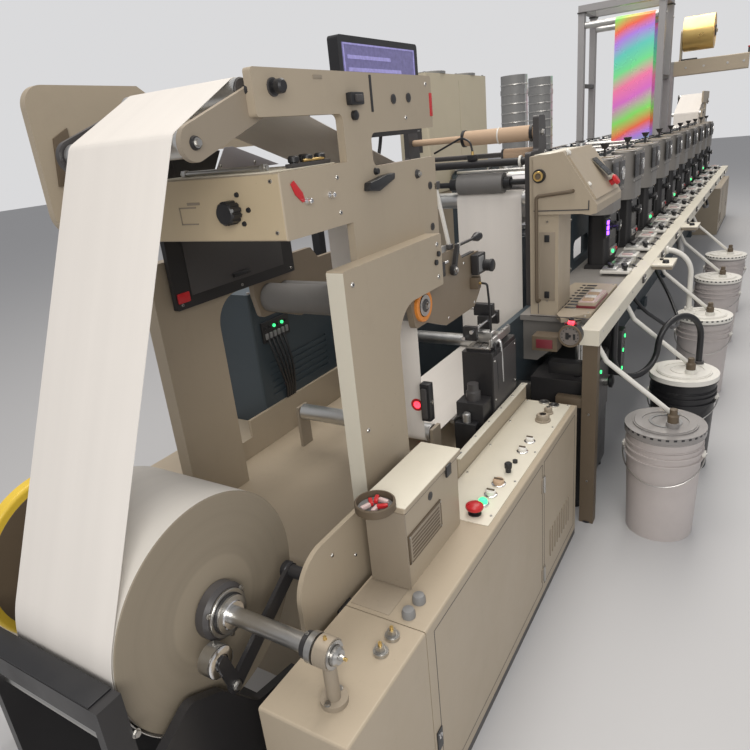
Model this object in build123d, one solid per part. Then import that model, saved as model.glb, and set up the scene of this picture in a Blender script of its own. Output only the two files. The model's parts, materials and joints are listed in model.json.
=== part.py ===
from build123d import *
from math import asin, atan2, cos, degrees, hypot, pi, radians, sin
import os

# Flexographic printing press, narrow web, ten print stations in line.
# Lengths in millimetres. While it is modelled, X runs down the press from the front of the unwind base,
# Y runs from the operator's face of the base towards the gear side, and Z is up from the floor.
# At the end every piece is moved so that the origin is under the middle of the whole press.

# Web
WEB_FRONT = 370
WEB_WIDTH = 300
WEB_BACK = WEB_FRONT + WEB_WIDTH
WEB_T = 1.0
WEB_GAP = 0.3
SPAN_GAP = 0.1

# Side frames
FRAME_IN = 340
FRAME_T = 20
INNER_WIDTH = 580
GEAR_IN = FRAME_IN + INNER_WIDTH
MIDDLE = FRAME_IN + INNER_WIDTH / 2
SEAT = 0.05

# Print stations
STATIONS = 10
PITCH = 600
FIRST = 2900
FRAME_HALF = 240
LAST_ROOM = 380

# Base units at both ends
BASE_LENGTH = 1610
BASE_WIDTH = 210
BASE_TOP = 576
BASE_SEAM = 316
SEAM_WIDTH = 3
SEAM_DEPTH = 4
BASE_ROUND = 6
WALL_START = 950
WALL_HEIGHT = 66
WALL_T = 12
HOUSING_START = 480
HOUSING_TOP = 500
BED_BACK = FIRST + PITCH * (STATIONS - 1) + LAST_ROOM
END_LENGTH = BED_BACK + BASE_LENGTH

# Guard plate inside the operator's base
GUARD_FACE = 240
GUARD_T = 12
GUARD_START = 200
GUARD_END = 760
GUARD_TOP = 750
GUARD_LOW = 300
GUARD_ROUND = 100

# Unwind and rewind
ROLL_X = 80
ROLL_Z = 700
ROLL_R = 250
REWIND_R = 190
ROLL_CLEAR = 5
CORE_R = 38
SHAFT_R = 19
SHAFT_END = 50
CHUCK_R = 62
CHUCK_T = 28
CHUCK_GAP = 4
CHUCK_NOSE = 64
RUN_GAP = 0.08
PEDESTAL_FACE = 66
PEDESTAL_T = 30
PEDESTAL_R = 31
POST_R = 14

# Floor cradle under the roll
CRADLE_FRONT = -235
CRADLE_POST = 50
CRADLE_T = 22
CRADLE_TOP = 740
CRADLE_BACK = 290
CRADLE_GAP = 18

# Support plates and tower
SUPPORT_T = 48
SUPPORT_TOP = 1318
SUPPORT_ARM = 153
SUPPORT_FRONT = 550
SUPPORT_LEG = 235
SUPPORT_END = 1075
SUPPORT_ROUND = 100
TOWER_FRONT = 690
TOWER_BACK = 1165
TOWER_LOW = 1240
TOWER_TOP = 1747
GEAR_FRONT = 305
GEAR_LOW = 1440
GEAR_TOP = 1785
BEAM_FRONT = 390
BEAM_HEIGHT = 90
NOTCH_FRONT = 810
NOTCH_LOW = 1530
NOTCH_TOP = 1610
CROSS_FRONT = 430
CROSS_LOW = 1410
CROSS_TOP = 1550
SHADE_FRONT = 598
SHADE_LOW = 1176
SHADE_T = 16
KNOB_Y = 458
KNOB_Z = 1475
KNOB_R = 26
KNOB_T = 30
PIN_R = 6
PIN_DEPTH = 20

# Guide idlers in the infeed: place of the axis and radius
IDLER_R = 25
IDLER_A = (235, 1620)
IDLER_B = (400, 1708)
IDLER_C_Z = 1490
LOW_R = 30
LOW_Z = 640
ARM_T = 12
ARM_WIDTH = 66
JOURNAL_R = 8
END_GAP = 4
WEB_ARM = 690

# Nip
NIP_X = 1017
NIP_Z = 1112
NIP_R = 50
PRESS_R = 38
NIP_BACK = 1480
NIP_LOW = 1000
NIP_TOP = 1235
NIP_FRONT = 947
RING_T = 11
LEVER_X = 1235
LEVER_Z = 1172
LEVER_T = 12
LEVER_GAP = 6

# Rise behind the base
RISE_X = 2095
TOP_IDLER_R = 35
TOP_IDLER_Z = 1290
LAY_R = 43
LAY_ANGLE = 116
RISER_FRONT = 2040
RISER_BACK = 2260
RISER_TOP = 1480
RISER_LUG = 1620
TIE_X = 2080
TIE_Z = 1446
TIE_R = 16
CORE_TUBES = ((2200, 1552, 32, 330), (2236, 1470, 24, 160))

# Bed and deck
BED_FRONT = BASE_LENGTH
BED_T = 25
BED_FACE = FRAME_IN - 30
BED_TOP = 835
BED_LOW = 60
FOOT_LENGTH = 140
WINDOW_Z = 470
WINDOW_HEIGHT = 340
WINDOW_ROUND = 60
GUSSET_DEPTH = 190
DECK_FRONT = 1690
RAIL_FACE = -57
RAIL_WIDTH = 72
RAIL_TOP = 850
RAIL_DEEP = 60
SHELF_FRONT = 1880
SHELF_T = 22
SHELF_TOP = 838
PANEL_TOP = 856
PANEL_BACK = 2400
LEG_X = DECK_FRONT + 10
LEG_LENGTH = 44

# Fittings on the base
CONTROL_X = 430
CONTROL_LENGTH = 300
CONTROL_FACE = 96
CONTROL_TOP = 805
CONTROL_LID = 12
DISH_X = 402
DISH_R = 48
DISH_T = 26
GUIDE_X = BASE_LENGTH - 280
GUIDE_LENGTH = 230
GUIDE_TOP = 856
CABINET_X = BASE_LENGTH - 550
CABINET_LENGTH = 500
CABINET_TOP = 1100
CABINET_DEPTH = 180

# Monitor on the gear side
SCREEN_X = BASE_LENGTH - 255
SCREEN_LENGTH = 580
SCREEN_FACE = 745
SCREEN_LOW = 1598
SCREEN_HEIGHT = 334
SCREEN_T = 42
SCREEN_RIM = 22
SCREEN_POST = 40

# Gauge on the deck's front end
GAUGE_Y = 43
GAUGE_Z = 833
GAUGE_R = 44

# Heads and cylinders of the stations
FRAME_TOP = 1385
LINE_Z = 1131.2
IMPRESSION_R = 70
PLATE_R = 55
ANILOX_R = 45
BEARER_R = 14
HEAD_FACE = 130
HEAD_DEPTH = 140
HEAD_LENGTH = 310
HEAD_LOW = 1120
HEAD_NECK = 16
STEM_HALF = 100
BLOCK_FACE = 32
HOOD_HALF = 65
HOOD_LOW = 1170
HOOD_TOP = 1330
FILM_GAP = 5
GEAR_DEPTH = 190
COVER_TOP = 1290

# Console
CONSOLE_X = 1880
CONSOLE_LENGTH = 450
POST_FRONT = CONSOLE_X + 20
POST_LENGTH = 180
POST_FACE = 155
POST_BACK = 270
HEAD_BACK = 249
HEAD_BASE = 1251
HEAD_CREST = HEAD_BASE + 219
SLOPE_TOP = (135, HEAD_BASE + 230)
SLOPE_LOW = (6, HEAD_BASE + 31)
CONDUIT_Y = 96
CONDUIT_RISE = 86
CONDUIT_LOW = 62
CONDUIT_R = 7

# Film portal and foil arm
PORTAL_TOP = 2440
PORTAL_BAR = 60
PORTAL_T = 50
PORTAL_FACE = BED_FACE - 14
FILM_R = 25
FILM_X = FIRST + 4 * PITCH + 55
FILM_TOP = PORTAL_TOP - 150
FILM_LOW = 1355
FILM_REACH = PITCH - 200
FOIL_X = FIRST + 5 * PITCH + 130
FOIL_Z = 2164
FOIL_R = 135
FOIL_FACE = -2
FOIL_WIDTH = 232
FOIL_POST = 1960

# Gear side
CABINET_BACK_X = (2440, 3240)
DRYER_TOP = 1870
DUCT_XS = (FIRST + 2 * PITCH - 120, FIRST + 3 * PITCH - 120)
DUCT_R = 90
DUCT_TOP = 1900

# Pails
PAIL_R = 139
PAIL_FOOT_R = 124
PAIL_TOP = 440
PAIL_Y = -290
PAIL_XS = (1800, 2385, 3345, 4300, 5100)
LID_T = 28
PIPE_R = 10
PIPE_LEAN = 42


def centres():
    return [FIRST + PITCH * i for i in range(STATIONS)]


def gear(y):
    """Mirror a Y value to the gear side."""
    return 2 * MIDDLE - y


def far(x):
    """Mirror an X value to the rewind end."""
    return END_LENGTH - x


def block(x0, x1, y0, y1, z0, z1):
    place = Pos((x0 + x1) / 2, (y0 + y1) / 2, (z0 + z1) / 2)
    return place * Box(abs(x1 - x0), abs(y1 - y0), abs(z1 - z0))


def bar_y(x, z, radius, y0, y1):
    return Pos(x, (y0 + y1) / 2, z) * Rot(90, 0, 0) * Cylinder(radius, abs(y1 - y0))


def bar_x(y, z, radius, x0, x1):
    return Pos((x0 + x1) / 2, y, z) * Rot(0, 90, 0) * Cylinder(radius, abs(x1 - x0))


def bar_z(x, y, radius, z0, z1):
    return Pos(x, y, (z0 + z1) / 2) * Cylinder(radius, z1 - z0)


def outline(points, rounds=None):
    """A face with straight sides, rounded at the listed corners."""
    face = make_face(Polyline(*points, close=True))
    for index, radius in (rounds or {}).items():
        corner = Vector(*points[index])
        nearest = min(face.vertices(), key=lambda v: (Vector(v.X, v.Y) - corner).length)
        face = fillet(nearest, radius)
    return face


def plate(face, y0, y1):
    """A face drawn in X and Z, made solid between two Y values."""
    return Pos(0, max(y0, y1), 0) * extrude(Plane.XZ * face, amount=abs(y1 - y0))


def mirrored(points):
    return [(far(x), z) for x, z in points]


def turned(profile, x, z):
    """Revolve a profile of (radius, Y) points about an axis along Y."""
    face = make_face(Polyline(*profile, close=True))
    return Pos(x, 0, z) * revolve(face, Axis.Y)


def idler(x, z, radius, journal=JOURNAL_R, y0=FRAME_IN, y1=None):
    """A dead-shaft roller between two side plates, with journals that end on the plates."""
    y1 = gear(y0) if y1 is None else y1
    body = bar_y(x, z, radius, y0 + END_GAP, y1 - END_GAP)
    return body + bar_y(x, z, journal, y0, y1)


# Web path

def on_circle(centre, radius, angle):
    return (centre[0] + radius * cos(angle), centre[1] + radius * sin(angle))


def tangent(a, b):
    """Direction of the straight run from roller a to roller b."""
    dx = b["at"][0] - a["at"][0]
    dz = b["at"][1] - a["at"][1]
    shift = b["turn"] * b["r"] - a["turn"] * a["r"]
    return atan2(dz, dx) - asin(shift / hypot(dx, dz))


def touch(roller, direction):
    """Angle on the roller at which a run with this direction touches it."""
    return direction - roller["turn"] * pi / 2


def wrap(roller, into, out):
    """Signed angle that the web turns round a roller."""
    return roller["turn"] * ((roller["turn"] * (out - into)) % (2 * pi))


def ribbon(a, b, direction, lead, tail):
    """One run of web from the middle of the wrap on a to the middle of the wrap on b."""
    start = touch(a, direction)
    end = touch(b, direction)
    inner = []
    for offset in (-WEB_T / 2, WEB_T / 2):
        ra = a["r"] + a["turn"] * offset
        rb = b["r"] + b["turn"] * offset
        edges = []
        if lead:
            arc = [on_circle(a["at"], ra, start - lead * k) for k in (1, 0.5, 0)]
            edges.append(ThreePointArc(*arc))
        edges.append(Line(on_circle(a["at"], ra, start), on_circle(b["at"], rb, end)))
        if tail:
            arc = [on_circle(b["at"], rb, end + tail * k) for k in (0, 0.5, 1)]
            edges.append(ThreePointArc(*arc))
        inner.append(edges)
    one, two = inner
    caps = [Line(one[0] @ 0, two[0] @ 0), Line(one[-1] @ 1, two[-1] @ 1)]
    return make_face(Wire(one + two + caps))


def web(rollers, y0, y1):
    """All runs of a web round a list of rollers, one solid a run."""
    runs = list(zip(rollers, rollers[1:]))
    directions = [tangent(a, b) for a, b in runs]
    wraps = [0]
    for i in range(1, len(runs)):
        wraps.append(wrap(rollers[i], directions[i - 1], directions[i]))
    wraps.append(0)
    solids = []
    for i, (a, b) in enumerate(runs):
        lead = wraps[i] / 2
        tail = wraps[i + 1] / 2
        if lead:
            lead -= a["turn"] * SPAN_GAP / a["r"]
        solids.append(plate(ribbon(a, b, directions[i], lead, tail), y0, y1))
    return solids


def pulley(at, radius, turn, gap=WEB_GAP):
    """A roller on the web's path: radius to the middle of the web, +1 turns anticlockwise."""
    return {"at": at, "r": radius + gap + WEB_T / 2, "turn": turn}


DROP_X = NIP_X + NIP_R + WEB_GAP + WEB_T / 2
LOW_REACH = LOW_R + WEB_GAP + WEB_T / 2
LINE_REACH = IDLER_R + WEB_GAP + WEB_T / 2
IDLER_C = (DROP_X - LINE_REACH, IDLER_C_Z)
IDLER_D = (DROP_X + LOW_REACH, LOW_Z)
IDLER_H = (RISE_X - LOW_REACH, LOW_Z)
IDLER_G = (RISE_X + TOP_IDLER_R + WEB_GAP + WEB_T / 2, TOP_IDLER_Z)
IDLER_I = (FIRST - FRAME_HALF + IDLER_R + 10, LINE_Z + LINE_REACH)
IDLER_J = (far(DROP_X) - LINE_REACH, LINE_Z + LINE_REACH)


def paper_web():
    path = [
        pulley((ROLL_X, ROLL_Z), ROLL_R, -1, ROLL_CLEAR),
        pulley(IDLER_A, IDLER_R, -1),
        pulley(IDLER_B, IDLER_R, -1),
        pulley(IDLER_C, IDLER_R, -1),
        pulley(IDLER_D, LOW_R, 1),
        pulley(IDLER_H, LOW_R, 1),
        pulley(IDLER_G, TOP_IDLER_R, -1),
        pulley(IDLER_I, IDLER_R, 1),
        pulley(IDLER_J, IDLER_R, 1),
        pulley((far(IDLER_C[0]), IDLER_C[1]), IDLER_R, -1),
        pulley((far(IDLER_B[0]), IDLER_B[1]), IDLER_R, -1),
        pulley((far(IDLER_A[0]), IDLER_A[1]), IDLER_R, -1),
        pulley((far(ROLL_X), ROLL_Z), REWIND_R, -1),
    ]
    return web(path, WEB_FRONT, WEB_BACK)


# Base units

def base_side():
    """Operator's box of the unwind end, with the raised wall along its inner edge."""
    body = block(0, BASE_LENGTH, 0, BASE_WIDTH, 0, BASE_TOP)
    top = body.faces().sort_by(Axis.Z)[-1]
    outer = [e for e in top.edges() if e.center().Y < BASE_WIDTH - 1]
    body = fillet(outer, BASE_ROUND)
    body += block(WALL_START, BASE_LENGTH, BASE_WIDTH - WALL_T, BASE_WIDTH, BASE_TOP, BASE_TOP + WALL_HEIGHT)
    seam_end = BASE_SEAM + SEAM_WIDTH
    body -= block(BASE_SEAM, seam_end, -1, SEAM_DEPTH, -1, BASE_TOP + 1)
    body -= block(BASE_SEAM, seam_end, -1, BASE_WIDTH + 1, BASE_TOP - SEAM_DEPTH, BASE_TOP + 1)
    return body


def across(shape):
    """Mirror a shape to the gear side."""
    return mirror(shape, Plane((0, MIDDLE, 0), z_dir=(0, 1, 0)))


def along(shape):
    """Mirror a shape to the rewind end."""
    return mirror(shape, Plane((END_LENGTH / 2, 0, 0), z_dir=(1, 0, 0)))


def base_cross_housings():
    inner = BASE_WIDTH
    body = block(HOUSING_START, BASE_LENGTH, inner, gear(inner), 0, HOUSING_TOP)
    front = [e for e in body.edges() if abs(e.center().X - HOUSING_START) < 1 and e.center().Z > HOUSING_TOP - 1]
    body = fillet(front, BASE_ROUND * 4)
    return [body, along(body)]


def inner_guard_plate():
    points = [
        (GUARD_START, GUARD_LOW),
        (GUARD_START, GUARD_TOP),
        (GUARD_END, GUARD_TOP),
        (GUARD_END, HOUSING_TOP),
        (HOUSING_START - 2, HOUSING_TOP),
        (HOUSING_START - 2, GUARD_LOW),
    ]
    face = outline(points, {1: GUARD_ROUND, 0: GUARD_ROUND / 2, 2: GUARD_ROUND / 4})
    body = plate(face, GUARD_FACE, GUARD_FACE + GUARD_T)
    for x in (GUARD_START + 60, HOUSING_START - 60):
        body += bar_y(x, (GUARD_LOW + BASE_TOP) / 2, 14, BASE_WIDTH, GUARD_FACE)
    return [body]


# Unwind and rewind

def shaft_bearings():
    """A slim post with a flange and a ring at each end of both shafts."""
    middle = PEDESTAL_FACE + PEDESTAL_T / 2
    back = PEDESTAL_FACE + PEDESTAL_T
    solids = []
    for x in (ROLL_X, far(ROLL_X)):
        body = bar_z(x, middle, POST_R, BASE_TOP, ROLL_Z)
        body += bar_z(x, middle, POST_R * 2, BASE_TOP, BASE_TOP + 12)
        body += bar_y(x, ROLL_Z, PEDESTAL_R, PEDESTAL_FACE, back)
        body -= bar_y(x, ROLL_Z, SHAFT_R + RUN_GAP, PEDESTAL_FACE - 1, back + 1)
        solids += [body, across(body)]
    return solids


def shaft(x):
    """Steel shaft with chamfered ends, a collar inside each bearing and a chrome ring by each chuck."""
    collar = PEDESTAL_FACE + PEDESTAL_T + ROLL_CLEAR
    ring = WEB_FRONT - CHUCK_T - 24
    half = [
        (0, SHAFT_END),
        (SHAFT_R - 5, SHAFT_END),
        (SHAFT_R, SHAFT_END + 5),
        (SHAFT_R, collar),
        (SHAFT_R + 12, collar),
        (SHAFT_R + 12, collar + 14),
        (SHAFT_R, collar + 14),
        (SHAFT_R, ring),
        (SHAFT_R + 22, ring + 3),
        (SHAFT_R + 22, ring + 11),
        (SHAFT_R, ring + 14),
    ]
    back = [(r, gear(y)) for r, y in reversed(half)]
    return turned(half + back, x, ROLL_Z)


def chucks(x):
    """A black collar with a nose that fills the core, at each end of the roll."""
    bore = SHAFT_R + SEAT
    near = WEB_FRONT - CHUCK_GAP
    solids = []
    for sign, base in ((1, near), (-1, WEB_BACK + CHUCK_GAP)):
        profile = [
            (bore, base - sign * CHUCK_T),
            (CHUCK_R - 8, base - sign * CHUCK_T),
            (CHUCK_R, base - sign * (CHUCK_T - 8)),
            (CHUCK_R, base),
            (CORE_R - SEAT, base),
            (CORE_R - SEAT, base + sign * CHUCK_NOSE),
            (bore, base + sign * CHUCK_NOSE),
        ]
        solids.append(turned(profile, x, ROLL_Z))
    return solids


def roll(x, radius):
    edge = 2
    profile = [
        (CORE_R, WEB_FRONT),
        (radius - edge, WEB_FRONT),
        (radius, WEB_FRONT + edge),
        (radius, WEB_BACK - edge),
        (radius - edge, WEB_BACK),
        (CORE_R, WEB_BACK),
    ]
    return turned(profile, x, ROLL_Z)


def brake_arm():
    """A flat bar below the shaft with a knob at the guard plate, and a hook up to a round pad."""
    top = (GUARD_START + 40, ROLL_Z + 6)
    low = (ROLL_X - 55, ROLL_Z - 125)
    pad = (ROLL_X - 75, ROLL_Z - 50)
    y0 = GUARD_FACE + GUARD_T
    y1 = WEB_FRONT - CHUCK_T - 44
    body = plate(arm_between(low, top, 36), y1 - 10, y1)
    body += plate(arm_between(low, pad, 28), y1 - 10, y1)
    body += bar_y(top[0], top[1], 15, y0, y1 - 10)
    body += bar_y(top[0], top[1], 17, y1, y1 + 12)
    body += bar_y(pad[0], pad[1], 34, y1, y1 + 28)
    return [body]


def brake_guard():
    """Yellow ring round the far end of the shaft, on a bracket from the gear side box."""
    inner = 100
    outer = 215
    face_y = GEAR_IN - 40
    ring = bar_y(ROLL_X, ROLL_Z, outer, face_y, face_y + 30) - bar_y(ROLL_X, ROLL_Z, inner, face_y - 1, face_y + 31)
    ring = ring.solid()
    rim = ring.faces().sort_by(Axis.Y)[0].outer_wire().edges()
    ring = fillet(rim, 10)
    foot = block(ROLL_X - 40, ROLL_X + 40, face_y + 30, gear(BASE_WIDTH), ROLL_Z - outer + 15, ROLL_Z - outer + 75)
    return [ring + foot]


def roll_stand():
    """Black floor cradle: two side plates and a bar across the front."""
    post = CRADLE_FRONT + CRADLE_POST
    points = [
        (CRADLE_FRONT, 0),
        (CRADLE_FRONT, CRADLE_TOP),
        (post, CRADLE_TOP),
        (post, 520),
        (-60, 590),
        (20, 545),
        (105, 430),
        (CRADLE_BACK - 40, 400),
        (CRADLE_BACK, 340),
        (CRADLE_BACK, 0),
        (CRADLE_BACK - 80, 0),
        (CRADLE_BACK - 150, 90),
        (CRADLE_FRONT + 190, 90),
        (CRADLE_FRONT + 120, 0),
    ]
    face = outline(points, {3: 30, 4: 30, 6: 40})
    near = WEB_FRONT - CRADLE_GAP
    low = WEB_BACK + CRADLE_GAP
    solids = [plate(face, near - CRADLE_T, near), plate(face, low, low + CRADLE_T)]
    solids.append(block(CRADLE_FRONT, post, near, low, CRADLE_TOP - CRADLE_POST, CRADLE_TOP))
    solids.append(block(CRADLE_BACK - 70, CRADLE_BACK - 20, near, low, 150, 200))
    for x in (ROLL_X, CRADLE_BACK - 50):
        solids.append(bar_y(x, 160, 16, BASE_WIDTH, near - CRADLE_T))
        solids.append(bar_y(x, 160, 16, low + CRADLE_T, gear(BASE_WIDTH)))
    return solids


# Supports and tower

def support_plates():
    inner = SUPPORT_TOP - SUPPORT_ARM
    leg_back = SUPPORT_FRONT + SUPPORT_LEG
    points = [
        (SUPPORT_FRONT, HOUSING_TOP),
        (SUPPORT_FRONT, SUPPORT_TOP),
        (SUPPORT_END, SUPPORT_TOP),
        (SUPPORT_END, inner),
        (leg_back, inner),
        (leg_back, HOUSING_TOP),
    ]
    face = outline(points, {4: SUPPORT_ROUND, 1: 6, 2: 6, 3: 6})
    body = plate(face, FRAME_IN - FRAME_T - SUPPORT_T, FRAME_IN - FRAME_T)
    return [body, across(body), along(body), across(along(body))]


def tower_plates():
    """Notched plates; the one on the gear side reaches further to the front."""
    notched = [
        (TOWER_FRONT, TOWER_LOW),
        (TOWER_BACK, TOWER_LOW),
        (TOWER_BACK, NOTCH_LOW),
        (NOTCH_FRONT, NOTCH_LOW),
        (NOTCH_FRONT, NOTCH_TOP),
        (TOWER_BACK, NOTCH_TOP),
        (TOWER_BACK, TOWER_TOP),
    ]
    beam = [(BEAM_FRONT, TOWER_TOP), (BEAM_FRONT, TOWER_TOP - BEAM_HEIGHT), (TOWER_FRONT, TOWER_TOP - BEAM_HEIGHT)]
    face = outline(notched + beam, {0: 6, 1: 6, 2: 6, 3: 20, 4: 20, 5: 6, 6: 10, 7: 8, 8: 8, 9: 16})
    near = plate(face, FRAME_IN - FRAME_T, FRAME_IN)
    wide = [
        (TOWER_FRONT, TOWER_TOP),
        (TOWER_FRONT - 60, GEAR_TOP),
        (GEAR_FRONT, GEAR_TOP),
        (GEAR_FRONT, GEAR_LOW),
        (TOWER_FRONT, GEAR_LOW),
    ]
    face = outline(notched + wide, {0: 6, 1: 6, 2: 6, 3: 20, 4: 20, 5: 6, 6: 10, 9: 50, 10: 60, 11: 16})
    back = plate(face, GEAR_IN, GEAR_IN + FRAME_T)
    return [near, back, along(near), along(back)]


def infeed_cross_box():
    outer = FRAME_IN - FRAME_T
    body = block(CROSS_FRONT, TOWER_FRONT, outer, GEAR_IN, CROSS_LOW, CROSS_TOP)
    front = [e for e in body.edges() if abs(e.center().X - CROSS_FRONT) < 1]
    body = fillet(front, 4)
    body -= bar_x(KNOB_Y, KNOB_Z, PIN_R + RUN_GAP, CROSS_FRONT - 1, CROSS_FRONT + PIN_DEPTH + 1)
    return [body]


def infeed_housing():
    """Dark cover on the inner face of the gear-side plates, under the cross box and behind the web."""
    body = block(SHADE_FRONT, TOWER_BACK - 6, GEAR_IN - SHADE_T, GEAR_IN, SHADE_LOW, CROSS_LOW)
    return [fillet(body.edges().filter_by(Axis.Y), 5)]


def guide_knob():
    """Round knob with a chamfered grip and a pin that turns in the cross box."""
    front = CROSS_FRONT - ROLL_CLEAR - KNOB_T
    back = CROSS_FRONT - ROLL_CLEAR
    grip = bar_x(KNOB_Y, KNOB_Z, KNOB_R, front, back)
    grip = chamfer(grip.edges().filter_by(GeomType.CIRCLE).sort_by(Axis.X)[0], 5)
    for i in range(12):
        angle = 2 * pi * i / 12
        y = KNOB_Y + KNOB_R * cos(angle)
        z = KNOB_Z + KNOB_R * sin(angle)
        grip -= bar_x(y, z, 3, front - 1, back + 1)
    return [grip + bar_x(KNOB_Y, KNOB_Z, PIN_R, back, CROSS_FRONT + PIN_DEPTH)]


def arm_between(a, b, width):
    """A flat face with round ends between two points."""
    angle = degrees(atan2(b[1] - a[1], b[0] - a[0]))
    length = hypot(b[0] - a[0], b[1] - a[1])
    middle = Pos((a[0] + b[0]) / 2, (a[1] + b[1]) / 2)
    return middle * Rot(0, 0, angle) * SlotCenterToCenter(length, width)


def top_arm():
    """Outline of the arms that hold the two top idlers."""
    return arm_between(IDLER_A, (IDLER_B[0] + 60, TOWER_TOP - BEAM_HEIGHT / 2), ARM_WIDTH)


def web_arms_gear():
    """Arms at the web's far edge, each on an upright from the cross box."""
    back = WEB_ARM + ARM_T
    arm = plate(top_arm(), WEB_ARM, back)
    arm += block(CROSS_FRONT + 5, CROSS_FRONT + 65, WEB_ARM, back, CROSS_TOP, TOWER_TOP - BEAM_HEIGHT)
    return [arm, along(arm)]


def idler_arms():
    """Arms that carry the two top idlers, and pedestals that carry the low one."""
    arm = plate(top_arm(), FRAME_IN, FRAME_IN + ARM_T)
    solids = [arm, along(arm)]
    x = IDLER_D[0]
    post = block(x - LOW_R, x + LOW_R, FRAME_IN, FRAME_IN + ARM_T, HOUSING_TOP, LOW_Z + LOW_R - 6)
    return solids + [post, across(post)]


def guide_idlers():
    inside = FRAME_IN + ARM_T
    solids = []
    for x, z in (IDLER_A, IDLER_B):
        for place in (x, far(x)):
            solids.append(idler(place, z, IDLER_R, y0=inside, y1=WEB_ARM))
    for x in (IDLER_C[0], far(IDLER_C[0])):
        solids.append(idler(x, IDLER_C[1], IDLER_R))
    solids.append(idler(*IDLER_D, LOW_R, y0=inside))
    solids.append(idler(*IDLER_H, LOW_R, y0=BED_FACE + BED_T))
    solids.append(idler(*IDLER_G, TOP_IDLER_R, y0=BED_FACE + BED_T))
    solids.append(idler(*IDLER_I, IDLER_R, y0=BED_FACE + BED_T))
    solids.append(idler(*IDLER_J, IDLER_R, y0=FRAME_IN - FRAME_T))
    for x in film_posts():
        solids.append(idler(x, FILM_TOP, FILM_R, y0=PORTAL_FACE + PORTAL_T))
        solids.append(idler(x, FILM_LOW, FILM_R, y0=BED_FACE + BED_T))
    return solids


# Nip

def nip_brackets():
    points = [
        (NIP_FRONT, NIP_Z + 20),
        (NIP_FRONT, NIP_TOP),
        (NIP_BACK - 190, NIP_TOP),
        (NIP_BACK - 150, NIP_TOP - 45),
        (NIP_BACK, NIP_TOP - 45),
        (NIP_BACK, NIP_LOW + 50),
        (NIP_BACK - 60, NIP_LOW),
        (NIP_X + 163, NIP_LOW),
        (NIP_X + 30, NIP_Z - 62),
        (NIP_FRONT + 20, NIP_Z - 62),
    ]
    face = outline(points, {2: 14, 4: 16, 5: 20, 6: 20, 9: 20, 0: 10})
    body = plate(face, FRAME_IN - FRAME_T, FRAME_IN)
    bore = bar_y(LEVER_X, LEVER_Z, PIN_R + RUN_GAP, FRAME_IN - FRAME_T - 1, FRAME_IN + 1)
    return [body - bore, across(body)]


def nip_rollers():
    press_x = NIP_X + NIP_R + WEB_T + 2 * WEB_GAP + PRESS_R
    reach = TOP_IDLER_R + WEB_T + 2 * WEB_GAP + LAY_R
    lay_x, lay_z = on_circle(IDLER_G, reach, radians(LAY_ANGLE))
    inner = BED_FACE + BED_T
    lay = bar_y(lay_x, lay_z, LAY_R, WEB_FRONT + 75, WEB_BACK - 15)
    lay += bar_y(lay_x, lay_z, LAY_R * 0.6, WEB_FRONT + 45, WEB_BACK + 25)
    lay += bar_y(lay_x, lay_z, 12, inner, gear(inner))
    return [idler(NIP_X, NIP_Z, NIP_R, 15), idler(press_x, NIP_Z, PRESS_R, 12), lay]


def nip_end_rings():
    face = FRAME_IN - FRAME_T
    ring = bar_y(NIP_X, NIP_Z, NIP_R, face - RING_T, face) - bar_y(NIP_X, NIP_Z, NIP_R - 16, face - RING_T - 1, face + 1)
    ring = ring.solid()
    ring = chamfer(ring.faces().sort_by(Axis.Y)[0].edges(), 2.5)
    return [ring, across(ring)]


def nip_lever():
    """Black lever with a hub on the bracket and a cone grip."""
    back = FRAME_IN - FRAME_T - LEVER_GAP
    front = back - LEVER_T
    knee = (LEVER_X + 32, LEVER_Z + 72)
    tip = (LEVER_X + 200, LEVER_Z + 66)
    body = plate(arm_between((LEVER_X, LEVER_Z), knee, 16), front, back)
    body += bar_y(LEVER_X, LEVER_Z, 18, front, back)
    body += bar_y(LEVER_X, LEVER_Z, PIN_R, back, back + LEVER_GAP + PIN_DEPTH - 4)
    run = tip[0] - knee[0]
    axis_y = (front + back) / 2
    body += Pos(knee[0] + run / 2, axis_y, knee[1]) * Rot(0, 90, 0) * Cylinder(5, run)
    body += Pos(tip[0] - 10, axis_y, knee[1]) * Rot(0, 90, 0) * Cone(6, 14, 60)
    return [body]


# Base fittings

def control_box():
    lid_low = CONTROL_TOP - CONTROL_LID
    x0 = CONTROL_X
    x1 = x0 + CONTROL_LENGTH
    body = block(x0, x1, CONTROL_FACE, BASE_WIDTH - 4, BASE_TOP, lid_low)
    body = fillet(body.edges().filter_by(Axis.Z), 5)
    lid = block(x0 - 8, x1 + 8, CONTROL_FACE - 8, BASE_WIDTH - 4, lid_low, CONTROL_TOP)
    body += fillet(lid.edges().filter_by(Axis.Z), 6)
    body -= block(x0 + 60, x0 + 190, CONTROL_FACE - 1, CONTROL_FACE + 2, BASE_TOP + 64, BASE_TOP + 124)
    return [body]


KNOB_XS = (745, 803, 876, 954, 1018, 1122, 1182, 1396, 1488, 1560)
NUT_XS = (213, 285, 347, 410)


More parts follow.
